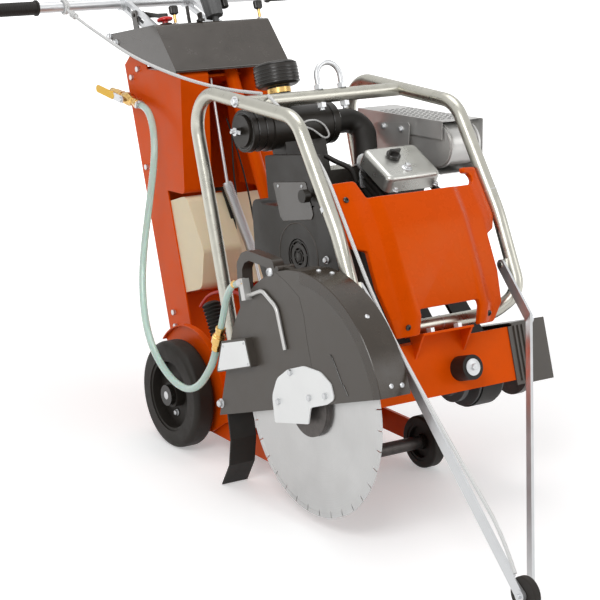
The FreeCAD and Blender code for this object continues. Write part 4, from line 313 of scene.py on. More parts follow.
class Form:
    """Vertices and faces in machine-level millimetres."""

    def __init__(self):
        self.verts = []
        self.faces = []

    def add(self, verts, faces):
        base = len(self.verts)
        self.verts += [tuple(v) for v in verts]
        self.faces += [tuple(i + base for i in face) for face in faces]
        return self

    def lathe(self, start, axis, profile, count=40, lobes=0, depth=0.0):
        """Surface of revolution; profile is (distance along the axis, radius)."""
        ahead = Vector(axis).normalized()
        side, up = frame_along(ahead)
        verts = []
        for distance, radius in profile:
            for i in range(count):
                angle = 2 * math.pi * i / count
                size = radius * (1 - depth * (0.5 - 0.5 * math.cos(lobes * angle)))
                out = side * math.cos(angle) + up * math.sin(angle)
                verts.append(Vector(start) + ahead * distance + out * size)
        faces = []
        for k in range(len(profile) - 1):
            for i in range(count):
                j = (i + 1) % count
                low, high = k * count, (k + 1) * count
                faces.append((low + i, low + j, high + j, high + i))
        if profile[0] != profile[-1]:
            faces.append(tuple(reversed(range(count))))
            faces.append(tuple(range((len(profile) - 1) * count, len(profile) * count)))
        return self.add(verts, faces)

    def ring(self, start, axis, profile, count=40):
        """Closed section turned about an axis."""
        return self.lathe(start, axis, list(profile) + [profile[0]], count)

    def band(self, start, axis, inner, outer, width, count=40):
        """Ring with a square section."""
        return self.ring(start, axis, [(0, inner), (0, outer), (width, outer), (width, inner)], count)

    def hexagon(self, start, axis, flats, height):
        corner = flats / math.sqrt(3)
        profile = [(0, corner), (height * 0.82, corner), (height, corner * 0.88)]
        return self.lathe(start, axis, profile, 6)

    def prism(self, outline, start, end, to_point):
        """Outline of (a, b) points drawn out from one depth to another."""
        count = len(outline)
        verts = [to_point(a, b, depth) for depth in (start, end) for a, b in outline]
        faces = [tuple(range(count)), tuple(reversed(range(count, 2 * count)))]
        for i in range(count):
            j = (i + 1) % count
            faces.append((i, i + count, j + count, j))
        return self.add(verts, faces)

    def prism_x(self, outline, x0, x1):
        return self.prism(outline, x0, x1, lambda a, b, depth: (depth, a, b))

    def sweep(self, points, radius, count=16):
        """Round rod through points."""
        points = [Vector(p) for p in points]
        total = len(points)
        side = frame_along(points[1] - points[0])[0]
        verts = []
        for i, point in enumerate(points):
            ahead = (points[min(i + 1, total - 1)] - points[max(i - 1, 0)]).normalized()
            side = (side - ahead * side.dot(ahead)).normalized()
            up = ahead.cross(side)
            for k in range(count):
                angle = 2 * math.pi * k / count
                verts.append(point + (side * math.cos(angle) + up * math.sin(angle)) * radius)
        faces = []
        for i in range(total - 1):
            for k in range(count):
                m = (k + 1) % count
                low, high = i * count, (i + 1) * count
                faces.append((low + k, low + m, high + m, high + k))
        faces.append(tuple(reversed(range(count))))
        faces.append(tuple(range((total - 1) * count, total * count)))
        return self.add(verts, faces)

    def bar(self, start, end, width, thickness, side):
        start, end = Vector(start), Vector(end)
        ahead = (end - start).normalized()
        through = Vector(side)
        through = (through - ahead * through.dot(ahead)).normalized() * thickness / 2
        wide = ahead.cross(through).normalized() * width / 2
        corners = [wide + through, wide - through, -wide - through, -wide + through]
        verts = [end_point + c for end_point in (start, end) for c in corners]
        sides = [(i, i + 4, (i + 1) % 4 + 4, (i + 1) % 4) for i in range(4)]
        return self.add(verts, [(0, 1, 2, 3), (7, 6, 5, 4)] + sides)


def piece(name, form, material, body="root", bevel=0.0, angle=35.0, replaces=(),
          placed=False):
    """Object made from a form, riding on a CAD body; placed forms are in the row frame."""
    mesh = bpy.data.meshes.new(name)
    verts = form.verts if placed else [at(*v) for v in form.verts]
    mesh.from_pydata(verts, [], form.faces)
    shape = bmesh.new()
    shape.from_mesh(mesh)
    bmesh.ops.remove_doubles(shape, verts=shape.verts, dist=1e-6)
    bmesh.ops.recalc_face_normals(shape, faces=shape.faces)
    shape.to_mesh(mesh)
    shape.free()
    mesh.shade_smooth()
    mesh.set_sharp_from_angle(angle=math.radians(angle))
    made = linked(name, mesh)
    if bevel:
        edge = made.modifiers.new("edges", "BEVEL")
        edge.width = bevel * MM
        edge.segments = 2
        edge.limit_method = "ANGLE"
        edge.angle_limit = math.radians(32)
        edge.harden_normals = True
    mesh.materials.append(M[material])
    if body:
        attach(made, body)
    if replaces:
        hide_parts(*replaces)
    return made


# ---------------------------------------------------------------- cords
WATER_HOSE = [
    (-172, 738, 799), (-172, 710.76, 786.444), (-176, 684, 764), (-184, 664, 724),
    (-194, 656, 672), (-206, 663, 614), (-219, 677, 554), (-232, 694, 490), (-247, 707, 424),
    (-262, 711, 356), (-277, 702, 288), (-291, 678, 222), (-303, 636, 164), (-311, 582, 116),
    (-317, 524, 82), (-320, 464, 66), (-321, 406, 76), (-322, 354, 106), (-322, 325.7, 127.5),
    (-322, 307, 151),
]
SPRAY_HOSE = [
    (-322, 268, 200), (-322, 249.3, 223.495), (-323, 228, 254), (-324, 203, 278),
    (-325.1, 176, 290), (-325.1, 150, 290),
]
ROPE_UPPER = [
    (-272, 849.0, 1075.2), (-262, 798, 1030), (-250, 722, 974), (-236, 636, 910),
    (-220, 540, 854), (-202, 436, 802), (-186, 334, 760), (-172, 236, 728), (-165, 176, 712),
]
ROPE_LOWER = [
    (-165, 150, 702), (-171, 92, 656), (-184, 14, 590), (-198, -62, 506), (-203.6, -92, 455),
    (-204.2, -112, 398), (-207, -142, 320), (-214, -188, 212), (-226, -258, 106),
    (-240, -338, 2), (-255, -418, -96), (-270, -500, -192), (-284, -574, -280),
    (-300, -612, -352),
]


def nurbs(name, points, resolution):
    """Curve with a smooth spline whose control points these are."""
    data = bpy.data.curves.new(name, "CURVE")
    data.dimensions = "3D"
    data.resolution_u = resolution
    line = data.splines.new("NURBS")
    line.points.add(len(points) - 1)
    for target, point in zip(line.points, points):
        target.co = (*at(*point), 1.0)
    line.order_u = 3
    line.use_endpoint_u = True
    return data


def hose(name, cad_name, points, radius, **facts):
    """Water hose along a spline; facts are what is said of the cord, and are not used."""
    data = nurbs(name, points, 10)
    data.bevel_depth = radius * MM
    data.bevel_resolution = 6
    data.use_fill_caps = True
    made = linked(name, data)
    data.materials.append(M["clear_hose"])
    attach(made, "root")
    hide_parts(cad_name)


def line_of(points):
    """Points along a smooth spline, in the row frame."""
    data = nurbs("route", points, 6)
    route = bpy.data.objects.new("route", data)
    mesh = bpy.data.meshes.new_from_object(route)
    found = [v.co.copy() for v in mesh.vertices]
    bpy.data.objects.remove(route)
    bpy.data.curves.remove(data)
    bpy.data.meshes.remove(mesh)
    return found


def rope(name, points, cad_name):
    """Rope from the frame to a moving part, as a fixed tube swept along a curved route; it rides no
    body.
    """
    route = line_of(points)
    made = piece(name, Form().sweep(route, 0.004, 12), "white_rope", body=None,
                 replaces=(cad_name,), placed=True)
    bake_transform(made)


COUPLING_START = Vector(WATER_HOSE[-1])
COUPLING_AXIS = (Vector(SPRAY_HOSE[0]) - COUPLING_START).normalized()
coupling = Form().lathe(COUPLING_START, COUPLING_AXIS, [
    (0, 9.5), (1, 11), (7, 11), (8, 9.8), (15, 9.8), (16, 12.5), (20, 12.5), (21, 15.5),
    (38, 15.5), (39, 13), (43, 13), (44, 10.5), (54, 10.5), (55, 12), (61, 12), (62.6, 10)])
coupling.hexagon(COUPLING_START + COUPLING_AXIS * 8, COUPLING_AXIS, 22, 7)
coupling = piece("coupling", coupling, "brass", replaces=("hose_coupling",))

hose("water_hose_line", "water_hose", WATER_HOSE, 9.0, length=1.09, far_end="connector",
     with_pieces=[coupling])
hose("spray_hose_line", "spray_hose", SPRAY_HOSE, 8.0, length=0.157, far_end="object")
rope("rope_upper_line", ROPE_UPPER, "rope_upper")
rope("rope_lower_line", ROPE_LOWER, "rope_lower")

# ---------------------------------------------------------------- floor and light
FLOOR_REACH = 14.0
FLOOR_DROP = 0.0004
FLOOR_GLOW = 0.33                   # near the machine, where its shadow falls
FLOOR_NEAR = 1.2
FLOOR_FAR = 3.2                     # from here on the floor is white
WORLD_LEVEL = 0.50


def seen_rays(tree):
    """1 for camera, glossy and transmission rays, which see the white background."""
    path = node(tree, "ShaderNodeLightPath", {})
    seen = path.outputs["Is Camera Ray"]
    for kind in ("Is Glossy Ray", "Is Transmission Ray"):
        seen = node(tree, "ShaderNodeMath", {0: seen, 1: path.outputs[kind]},
                    operation="MAXIMUM").outputs[0]
    return seen


def make_floor():
    mesh = bpy.data.meshes.new("floor")
    corners = [(-1, -1), (1, -1), (1, 1), (-1, 1)]
    mesh.from_pydata([(x * FLOOR_REACH, y * FLOOR_REACH, 0) for x, y in corners], [],
                     [(0, 1, 2, 3)])
    floor = linked("floor", mesh)
    floor.location.z = -FLOOR_DROP
    material, tree, shader = tree_of("floor")
    shader.inputs["Base Color"].default_value = (0.86, 0.86, 0.86, 1)
    shader.inputs["Roughness"].default_value = 0.6
    shader.inputs["Specular IOR Level"].default_value = 0.1
    shader.inputs["Emission Color"].default_value = (1, 1, 1, 1)
    away = node(tree, "ShaderNodeVectorMath", {0: object_place(tree)}, operation="LENGTH")
    glow = node(tree, "ShaderNodeMapRange", {
        "Value": away.outputs["Value"], "From Min": FLOOR_NEAR, "From Max": FLOOR_FAR,
        "To Min": FLOOR_GLOW, "To Max": 1.0})
    gain = node(tree, "ShaderNodeMath", {0: seen_rays(tree), 1: glow.outputs["Result"]},
                operation="MULTIPLY")
    tree.links.new(gain.outputs[0], shader.inputs["Emission Strength"])
    mesh.materials.append(material)


def make_world():
    world = bpy.data.worlds.new("world")
    bpy.context.scene.world = world
    world.use_nodes = True
    tree = world.node_tree
    background = tree.nodes["Background"]
    background.inputs["Color"].default_value = (1, 1, 1, 1)
    strength = node(tree, "ShaderNodeMapRange", {
        "Value": seen_rays(tree), "To Min": WORLD_LEVEL, "To Max": 1.0})
    tree.links.new(strength.outputs["Result"], background.inputs["Strength"])


def make_lamp(name, place, size, power):
    data = bpy.data.lights.new(name, "AREA")
    data.shape = "DISK"
    data.size = size
    data.energy = power
    lamp = linked(name, data)
    lamp.location = place
    aimed(lamp, (0, 0, 0.4))


make_floor()
make_world()
make_lamp("key", (-3.2, -2.6, 3.6), 2.2, 88.0)
make_lamp("fill", (3.0, -3.4, 2.2), 2.4, 26.0)
make_lamp("top", (0.2, 0.6, 4.0), 2.6, 40.0)
bpy.context.scene.view_settings.view_transform = "Standard"


# ---------------------------------------------------------------- small parts
def bolt(form, place, axis, flats, height, washer=0.0):
    """Hexagon head, on a washer if there is one, standing on a surface."""
    ahead = Vector(axis).normalized()
    start = Vector(place)
    if washer:
        form.lathe(start, ahead, [(0, washer), (1.5, washer), (2, washer - 0.5)], 32)
        start = start + ahead * 2
    form.hexagon(start, ahead, flats, height)
    chamfer = [(0, flats * 0.44), (height * 0.12, flats * 0.3)]
    return form.lathe(start + ahead * height * 0.9, ahead, chamfer, 24)


def screw_head(form, place, axis, radius, height):
    """Domed head with a socket."""
    profile = [(0, 1), (0.5, 0.95), (0.85, 0.72), (1, 0.48), (0.4, 0.42)]
    profile = [(height * a, radius * b) for a, b in profile] + [(height * 0.4, 0.05)]
    return form.lathe(place, axis, profile, 28)


def clamp_ring(form, place, axis, radius, width, lug):
    """Worm-drive hose clamp: a band with its screw."""
    ahead = Vector(axis).normalized()
    form.band(place, ahead, radius, radius + 1.2, width)
    out = Vector(lug) - ahead * Vector(lug).dot(ahead)
    out.normalize()
    middle = Vector(place) + ahead * width / 2 + out * (radius + 4)
    along = ahead.cross(out)
    form.bar(middle - along * 7, middle + along * 5, width, 6, out)
    return form.hexagon(middle + along * 5, along, 6, 5)


def in_plane(start, ahead, side):
    """Maps (a, b, depth) to start + ahead a + side b + normal depth."""
    ahead, side = Vector(ahead).normalized(), Vector(side).normalized()
    normal = ahead.cross(side)
    return lambda a, b, depth: Vector(start) + ahead * a + side * b + normal * depth


def slot_outline(first, length, width, steps=8):
    """Outline of a bar with two round ends, which starts at first."""
    half = width / 2
    points = []
    for turn, centre in ((-math.pi / 2, length - half), (math.pi / 2, half)):
        for k in range(steps + 1):
            angle = turn + math.pi * k / steps
            points.append((first + centre + half * math.cos(angle), half * math.sin(angle)))
    return points


def wound(centre, axis, ring_radius, turns, pitch, steps=24):
    """Helix about an axis."""
    ahead = Vector(axis).normalized()
    side, up = frame_along(ahead)
    points = []
    for k in range(int(turns * steps) + 1):
        angle = 2 * math.pi * k / steps
        out = (side * math.cos(angle) + up * math.sin(angle)) * ring_radius
        points.append(Vector(centre) + ahead * pitch * k / steps + out)
    return points


# ---------------------------------------------------------------- controls
def console_at(x, y):
    """Point on the console's sloping top."""
    return Vector((x, y, 970 + 0.12992 * (y - 597)))


def make_console():
    bolts = Form()
    for y, z in ((836, 995), (806, 972)):
        bolt(bolts, (-168, y, z), LEFT, 13, 6, 9)
    piece("console_ear_bolts", bolts, "zinc")

    stop = console_at(-123, 621)
    cap = Form().lathe(stop, UP, [
        (-14, 7.8), (8, 7.8), (8.4, 13), (9.4, 18), (11.5, 19.8), (14, 20), (16.5, 18.6),
        (18.6, 14), (19.8, 7), (20, 0.5)], 48)
    piece("stop_cap", cap, "red_plastic", "stop_button", replaces=("estop_button",))
    collar = Form().ring(stop, UP, [(-1, 8.2), (-1, 17), (1.4, 17), (2.4, 15), (2.4, 8.2)])
    piece("stop_collar", collar, "black_plastic")

    for side, place in (("left", (-89, 628)), ("right", (154, 612))):
        base = console_at(*place)
        body = f"knob_{side}"
        wing = Form().lathe(base, UP, [
            (24, 6), (25, 8), (28, 12.4), (43, 13), (46, 12), (47.6, 9), (48, 2)], 48, 2, 0.5)
        piece(f"wing_knob_{side}", wing, "black_gloss", body,
              replaces=(f"panel_knob_{side}",))
        piece(f"knob_stem_{side}", Form().lathe(base, UP, [(-28, 4), (24.5, 4)], 24), "brass",
              body)
        piece(f"knob_bush_{side}", Form().hexagon(base - UP * 0.5, UP, 14, 4), "zinc")


SCREW_FOOT = Vector((25, 451, 128))
SCREW_RUN = Vector((0, 138, 697))
SCREW = SCREW_RUN.normalized()
CRANK_TURN = math.radians(19)
CRANK_REACH = 52


def make_crank():
    """Hub on the depth screw, arm and turning knob."""
    low, high = [SCREW_FOOT + SCREW_RUN * (z - SCREW_FOOT.z) / SCREW_RUN.z for z in (985, 1076)]
    length = (high - low).length
    side = Vector((math.cos(CRANK_TURN), math.sin(CRANK_TURN), 0))
    side = (side - SCREW * side.dot(SCREW)).normalized()
    hub = Form().lathe(low, SCREW, [(-60, 8), (-0.2, 8)], 24)
    hub.lathe(low, SCREW, [
        (0, 20), (1.5, 23), (length - 4, 27.6), (length - 1, 26), (length, 20)], 96, 8, 0.09)
    hub.lathe(high, SCREW, [(0, 19), (8, 18), (9, 15), (9, 0.5)])
    piece("crank_hub", hub, "cast_grey", "crank_handle", replaces=("lift_crank",))
    start = high + SCREW * 4.5
    end = start + side * CRANK_REACH
    outline = rounded([(0, -11), (56, -9), (60, 0), (56, 9), (0, 11)], [0, 6, 8, 6, 0])
    arm = Form().prism(outline, -4.4, 4.4, in_plane(start, side, SCREW.cross(side)))
    piece("crank_arm", arm, "zinc", "crank_handle", bevel=1.2)
    knob = Form().lathe(end - SCREW * 68, SCREW, [
        (0, 2), (0.6, 7), (3, 10.4), (30, 10.8), (56, 9), (63, 7.5), (66, 7.5)], 32)
    piece("crank_knob", knob, "black_gloss", "crank_handle")
    pin = Form().lathe(end - SCREW * 4, SCREW, [(0, 5), (9, 5), (10.5, 3.6)], 24)
    piece("crank_knob_pin", pin, "zinc", "crank_handle")


CLAMP_HUB = Vector((-85, 800, 1039.2))
CLAMP_TIP = Vector((-79, 684, 1008))


def make_clamp():
    """Lever that holds the handlebar's posts."""
    line = (CLAMP_TIP - CLAMP_HUB).normalized()
    reach = (CLAMP_TIP - CLAMP_HUB).length
    clamp = Form().lathe(CLAMP_HUB - RIGHT * 25, RIGHT, [(0, 5), (12, 5)], 20)
    clamp.lathe(CLAMP_HUB - RIGHT * 6, RIGHT, [(0.4, 10), (12, 10), (14, 8)], 32)
    half = [(-4, -8), (20, -8), (reach * 0.6, -5), (reach, -7.5)]
    outline = half + [(reach + 2, 0)] + [(a, -b) for a, b in reversed(half)]
    clamp.prism(rounded(outline, [4, 6, 20, 5, 5, 5, 20, 6, 4]), -4.4, 4.4,
                in_plane(CLAMP_HUB, line, (0, -line.z, line.y)))
    piece("clamp_handle", clamp, "black_plastic", "clamp", bevel=1.5,
          replaces=("clamp_lever",))


def make_grips():
    ribs = []
    for i in range(22):
        start = 5.2 * i
        ribs += [(12 + start, 17.5), (14.2 + start, 17.5), (14.8 + start, 17.0),
                 (16.6 + start, 17.0)]
    flange = [(0, 14.4), (0, 20.0), (1, 20.5), (5, 20.5), (6.5, 17.6)]
    grips = Form()
    for way in (LEFT, RIGHT):
        grips.lathe((350 * way.x, 860, 1085), way,
                    flange + ribs + [(128, 17.5), (132, 15.8), (134.4, 11), (135, 1)])
    piece("rubber_grips", grips, "black_rubber", "bars", replaces=("handle_grips",))

    end = Vector(ROPE_UPPER[0])
    line = (Vector(ROPE_UPPER[1]) - end).normalized()
    tie = Form().sweep(wound((-277, 860, 1085), RIGHT, 17.6, 1.6, 6.5), 3.5, 10)
    tie.sweep(wound(end + line * 22, line, 5.6, 3.2, 6.2), 3.2, 10)
    piece("rope_tie", tie, "white_rope", "bars")


make_console()
make_crank()
make_clamp()
make_grips()

# ---------------------------------------------------------------- water valve
VALVE_AXIS = Vector((0, 0.9082, 0.4186)).normalized()
VALVE_FOOT = Vector(WATER_HOSE[0])


def make_valve():
    axis = VALVE_AXIS
    body = Form().lathe(VALVE_FOOT, axis, [
        (0, 9.2), (2, 11), (18, 11), (19, 9), (27, 9), (29, 12), (38, 12.5), (44, 16.2),
        (64, 16.2), (70, 12.5), (78, 12), (80, 10.2), (98, 10.2), (99, 12), (117, 12),
        (119, 10), (139.5, 10), (141, 9)])
    body.hexagon(VALVE_FOOT + axis * 4, axis, 23, 12)
    body.hexagon(VALVE_FOOT + axis * 84, axis, 23.5, 13)
    for i in range(6):
        thread = [(0, 9.4), (0.6, 10.0), (1.4, 10.0), (2.0, 9.4)]
        body.ring(VALVE_FOOT + axis * (121 + 3 * i), axis, thread, 32)
    body.lathe(VALVE_FOOT + axis * 24, RIGHT, [(0, 6), (21.8, 6)], 24)
    piece("valve_body", body, "brass", replaces=("water_valve",))
    piece("hose_clamp", clamp_ring(Form(), VALVE_FOOT - axis * 16, axis, 9.2, 9, LEFT), "zinc")

    stem = VALVE_FOOT + axis * 54
    plane = in_plane((0, stem.y, stem.z), axis, (0, -axis.z, axis.y))
    link = Form().prism(slot_outline(-12, 58, 19), -195.4, -192.6, plane)
    link.lathe((-180, stem.y, stem.z), LEFT, [(0, 4), (19, 4)], 20)
    bolt(link, (-195.4, stem.y, stem.z), LEFT, 11, 4)
    piece("valve_link", link, "zinc", "valve_handle", bevel=0.4, replaces=("valve_lever",))
    grip = Form().prism(slot_outline(36, 95, 20), -197.2, -191.2, plane)
    piece("valve_grip", grip, "yellow_paint", "valve_handle", bevel=1.6)


# ---------------------------------------------------------------- column
SPRING_TOP = Vector((-36, 600, 556))
SPRING_FOOT = Vector((0, 590, 364))
SPRING_TURNS = 44


def make_column_parts():
    line = (SPRING_TOP - SPRING_FOOT).normalized()
    pitch = (SPRING_TOP - SPRING_FOOT).length / SPRING_TURNS
    spring = Form().sweep(wound(SPRING_FOOT, line, 11.8, SPRING_TURNS, pitch, 16), 1.9, 8)
    spring.sweep([SPRING_FOOT, (14, 586, 98)], 4)
    spring.sweep([SPRING_TOP, (-30, 604, 826)], 4)
    for end in (SPRING_TOP, SPRING_FOOT):
        spring.lathe(end - line * 5, line, [(0, 4), (1, 11), (9, 11), (10, 4)], 24)
    spring.hexagon((14, 586, 92.2), UP, 20, 12)
    piece("balance_spring", spring, "zinc", replaces=("lift_linkage",))

    cables = Form()
    for x0, z0, x1, z1, swell in ((-2, 722, 27, 456, 8), (8, 690, -12, 448, -7)):
        points = []
        for k in range(13):
            t = k / 12
            bow = swell * math.sin(math.pi * t)
            points.append((x0 + (x1 - x0) * t + bow, 606, z0 + (z1 - z0) * t))
        cables.sweep(points, 2.2, 10)
    piece("control_cables", cables, "black_rubber")

    strap = [(698, 560), (618, 552), (606, 500), (604, 440), (612, 438), (616, 498), (626, 543),
             (698, 551)]
    piece("tank_strap", Form().prism_x(rounded(strap, 5), -40, -28), "black_rubber")

    loop = line_of([
        (-150, 640, 262), (-152, 613, 276), (-150, 588, 286), (-150, 559, 289),
        (-150, 520, 288), (-148, 477, 284), (-146, 444, 270), (-144, 424, 246)])
    piece("starter_cable", Form().sweep(loop, 0.004, 12), "red_rubber", placed=True)

    bellows = []
    for i in range(9):
        bellows += [(i * 9, 20), (i * 9 + 4.5, 24)]
    bellows += [(81, 20), (84, 16), (86, 4)]
    piece("ribbed_boot", Form().lathe((-186, 508, 184), (0, 0.22, 0.975), bellows, 32),
          "black_rubber")


make_valve()
make_column_parts()

# ---------------------------------------------------------------- engine
FACE = -140.0                       # fan housing and control panel
FAN = (176.0, 330.0)
HOOP_X = 222.0
OUT = Vector((0, -1, 1)).normalized()       # out of the front valve cover
DOWN = Vector((0, -1, -1)).normalized()     # along its top
COVER_SEAT = Vector((62, 28.1, 517.6))


def make_panel():
    grille = Form()
    for radius in (39, 31, 23, 15):
        grille.band((FACE + 4.5, *FAN), LEFT, radius - 3, radius, 3.4, 48)
    for k in range(6):
        angle = math.pi * k / 3
        reach = Vector((0, math.cos(angle), math.sin(angle)))
        start = Vector((FACE + 2.8, *FAN))
        grille.bar(start + reach * 6, start + reach * 40, 3.2, 3.4, RIGHT)
    grille.lathe((FACE + 4.5, *FAN), LEFT, [(0, 10), (4, 10), (5, 8)], 32)
    piece("fan_grille", grille, "black_plastic")
    bead = [(0, 76), (1.2, 77), (1.8, 78.2), (1.2, 79.4), (0, 80.4)]
    piece("fan_ring", Form().ring((FACE + 0.4, *FAN), LEFT, bead, 72), "grey_paint")

    vents = Form()
    rows = [((197, 451), (99, 439)), ((200, 441), (98, 429)), ((203, 431), (92, 419))]
    for number, ((y0, z0), (y1, z1)) in enumerate(rows):
        for i in range(9):
            t = (i + 0.5 * (number % 2) + 0.3) / 9.6
            place = (FACE + 0.4, y0 + (y1 - y0) * t, z0 + (z1 - z0) * t)
            vents.ring(place, LEFT, [(0, 3.4), (1.8, 3.4), (1.8, 4.8), (0, 5.4)], 6)
    piece("panel_vents", vents, "black_gloss")
    plate = rounded([(207, 474), (203, 489), (122, 479), (127, 464)], 2)
    piece("panel_plate", Form().prism_x(plate, FACE - 1, FACE + 0.4), "black_gloss", bevel=0.4)
    rim = rounded([(228, 512), (96, 492), (86, 414), (96, 405), (212, 418), (222, 430)], 6)
    piece("panel_rim", Form().prism_x(rim, FACE - 2.2, FACE + 0.2), "grey_plastic", bevel=1.4)

    tops = Form()
    for y, z in ((208, 500), (112, 484)):
        screw_head(tops, (FACE - 2.2, y, z), LEFT, 4, 2.5)
    bolt(tops, (FACE, 65, 309), LEFT, 12, 6, 9)
    bolt(tops, (FACE, 262, 300), LEFT, 12, 6, 9)
    bolt(tops, (-HOOP_X - 16, 178, 699), LEFT, 15, 6, 13)
    piece("engine_screws", tops, "zinc")


def make_cylinder_parts():
    cap = Form().lathe(COVER_SEAT, OUT, [
        (-6, 9), (0.4, 9), (0.6, 15.5), (3, 17), (8, 17), (10, 15), (11, 6), (11, 0.5)])
    wing = rounded([(-15, -3), (15, -3), (15, 3), (-15, 3)], 2.5)
    cap.prism(wing, 10, 22, in_plane(COVER_SEAT, RIGHT, -DOWN))
    piece("filler_wing_cap", cap, "black_gloss", "filler_cap", bevel=0.8,
          replaces=("oil_cap",))

    tops = Form()
    middle = COVER_SEAT + RIGHT * 10 + DOWN * 45
    tops.lathe(middle - OUT, OUT, [(0, 13), (3, 12.4), (5, 9), (5, 8)], 32)
    bolt(tops, middle + OUT * 4, OUT, 12, 6, 8.5)
    for x, reach in ((-42, 8), (-42, 88), (76, 14), (76, 84)):
        bolt(tops, COVER_SEAT + RIGHT * x + DOWN * reach - OUT * 26, OUT, 9, 5, 7)
    piece("cover_bolts", tops, "zinc")

    leg = rounded([(-22, 0), (22, 0), (17, 44), (-17, 44)], [6, 6, 12, 12])
    eye = Form().prism(leg, 0, 4, lambda a, b, depth: (33 + a, 100 + depth, 462 + b))
    eye.band((33, 100, 520), BACKWARD, 10.5, 20.5, 4, 36)
    piece("engine_eye", eye, "zinc", bevel=0.5)

    hoses = Form().sweep(line_of([
        (165, 60, 470), (165, 42, 450), (165, 20, 430), (165, 0, 415), (164, -23, 400)]),
        0.008, 14)
    hoses.sweep(line_of([
        (-60, 118, 548), (-48, 100, 530), (-30, 84, 516), (-18, 78, 500), (-14, 80, 476)]),
        0.006, 14)
    piece("breather_hoses", hoses, "black_rubber", placed=True)
    boot = Form().lathe((150, 90, 500), (0, -0.5, 0.6), [
        (0, 12), (12, 14), (16, 15), (30, 15), (34, 12), (36, 4)], 28)
    piece("plug_boot", boot, "black_rubber")


CANISTER = (250.0, 640.0)
PRE_CLEANER = (-67, 250)


def make_air_cleaner():
    nut = Form().lathe((-208, *CANISTER), LEFT, [
        (-2, 10), (1, 10), (2, 4), (10, 4), (11, 3)], 24)
    nut.bar((-205, 231, 634), (-205, 269, 646), 9, 3, RIGHT)
    piece("canister_nut", nut, "zinc", bevel=0.6)
    shell = Form()
    for radius in (44, 30):
        bead = [(0, radius - 3), (1.6, radius - 2), (1.6, radius), (0, radius + 1)]
        shell.ring((-183.6, *CANISTER), LEFT, bead, 56)
    for x in (-172, -150, 40):
        shell.band((x, *CANISTER), RIGHT, 49, 51, 3, 64)
    piece("canister_beads", shell, "black_gloss")
    fins = Form()
    for z in (741, 749, 757, 765, 773):
        fins.ring((*PRE_CLEANER, z), UP, [(0, 50.5), (0.6, 53.4), (3.4, 53.4), (4, 50.5)], 56)
    fins.ring((*PRE_CLEANER, 784), UP, [(0, 51), (1, 52.6), (3, 51.4), (3, 49)], 56)
    piece("pre_cleaner_ridges", fins, "black_gloss")
    neck = Form().band((*PRE_CLEANER, 719), UP, 26, 28.5, 12, 48)
    piece("pre_cleaner_band", neck, "brass")
    clamps = clamp_ring(Form(), (62, *CANISTER), RIGHT, 29.2, 9, (0, -1, 0.3))
    clamp_ring(clamps, (98, 184, 518), UP, 29.4, 9, (-1, -0.4, 0))
    piece("elbow_clamps", clamps, "zinc")
    pull = line_of([
        (-58, 199, 634), (-46, 198, 641), (-27, 198, 643), (-9, 198, 641), (10, 199, 628),
        (20, 200, 606), (14, 201, 598), (2, 201, 599), (-14, 200, 612), (-30, 199, 624),
        (-56, 199, 632)])
    piece("starter_loop", Form().sweep(pull, 0.0022, 10), "white_rope", placed=True)


SHIELD_FRONT = Vector((206, 37, 533))
SHIELD_RUN = Vector((0, 220, 65)).normalized()
SHIELD_RISE = Vector((0, -SHIELD_RUN.z, SHIELD_RUN.y))
SLOT_PITCH = (16.5, 15.5)           # across and along the shield


def make_shield_parts():
    # Dark capsules laid 0.7 mm proud of the shield, not cut through it: painted shade standing for
    # its slots.
    slot_shade = Form()
    for i in range(15):
        for j in range(6):
            along = 4 + SLOT_PITCH[1] * i + 3.5 * (j % 2)
            place = SHIELD_FRONT + RIGHT * SLOT_PITCH[0] * j + SHIELD_RUN * along
            plane = in_plane(place + SHIELD_RISE * 58.8, RIGHT, SHIELD_RUN)
            slot_shade.prism(slot_outline(-5, 10, 3.6, 4), 0, 0.7, plane)
    piece("shield_slot_shade", slot_shade, "black_rubber")
    bolts = Form()
    for y, z in ((203, 611), (139, 592), (226, 547)):
        bolt(bolts, (183, y, z), LEFT, 11, 5, 8)
    piece("shield_bolts", bolts, "zinc")


make_panel()
make_cylinder_parts()
make_air_cleaner()
make_shield_parts()

# ---------------------------------------------------------------- blade guard
GUARD_X = -315.0
GUARD_INNER_X = -240.0
POCKET_X = -333.0
RIM_STEPS = 40


def rim_strip(first, last):
    """Folded strip on the guard's curved edge, between two angles from the top to the front."""
    section = [(GUARD_X - 1.0, 272), (GUARD_X - 1.4, 298.6), (GUARD_X, 299.8),
               (GUARD_INNER_X, 299.8), (GUARD_INNER_X + 1, 298.6), (GUARD_INNER_X, 297.4),
               (GUARD_X + 1, 297.4), (GUARD_X + 0.4, 272)]
    count = len(section)
    verts = []
    for k in range(RIM_STEPS + 1):
        angle = math.radians(first + (last - first) * k / RIM_STEPS)
        verts += [(x, -radius * math.sin(angle), radius * math.cos(angle))
                  for x, radius in section]
    faces = []
    for k in range(0, RIM_STEPS * count, count):
        for i in range(count):
            j = (i + 1) % count
            faces.append((k + i, k + j, k + count + j, k + count + i))
    last_ring = range(RIM_STEPS * count, (RIM_STEPS + 1) * count)
    faces += [tuple(range(count)), tuple(reversed(last_ring))]
    return Form().add(verts, faces)


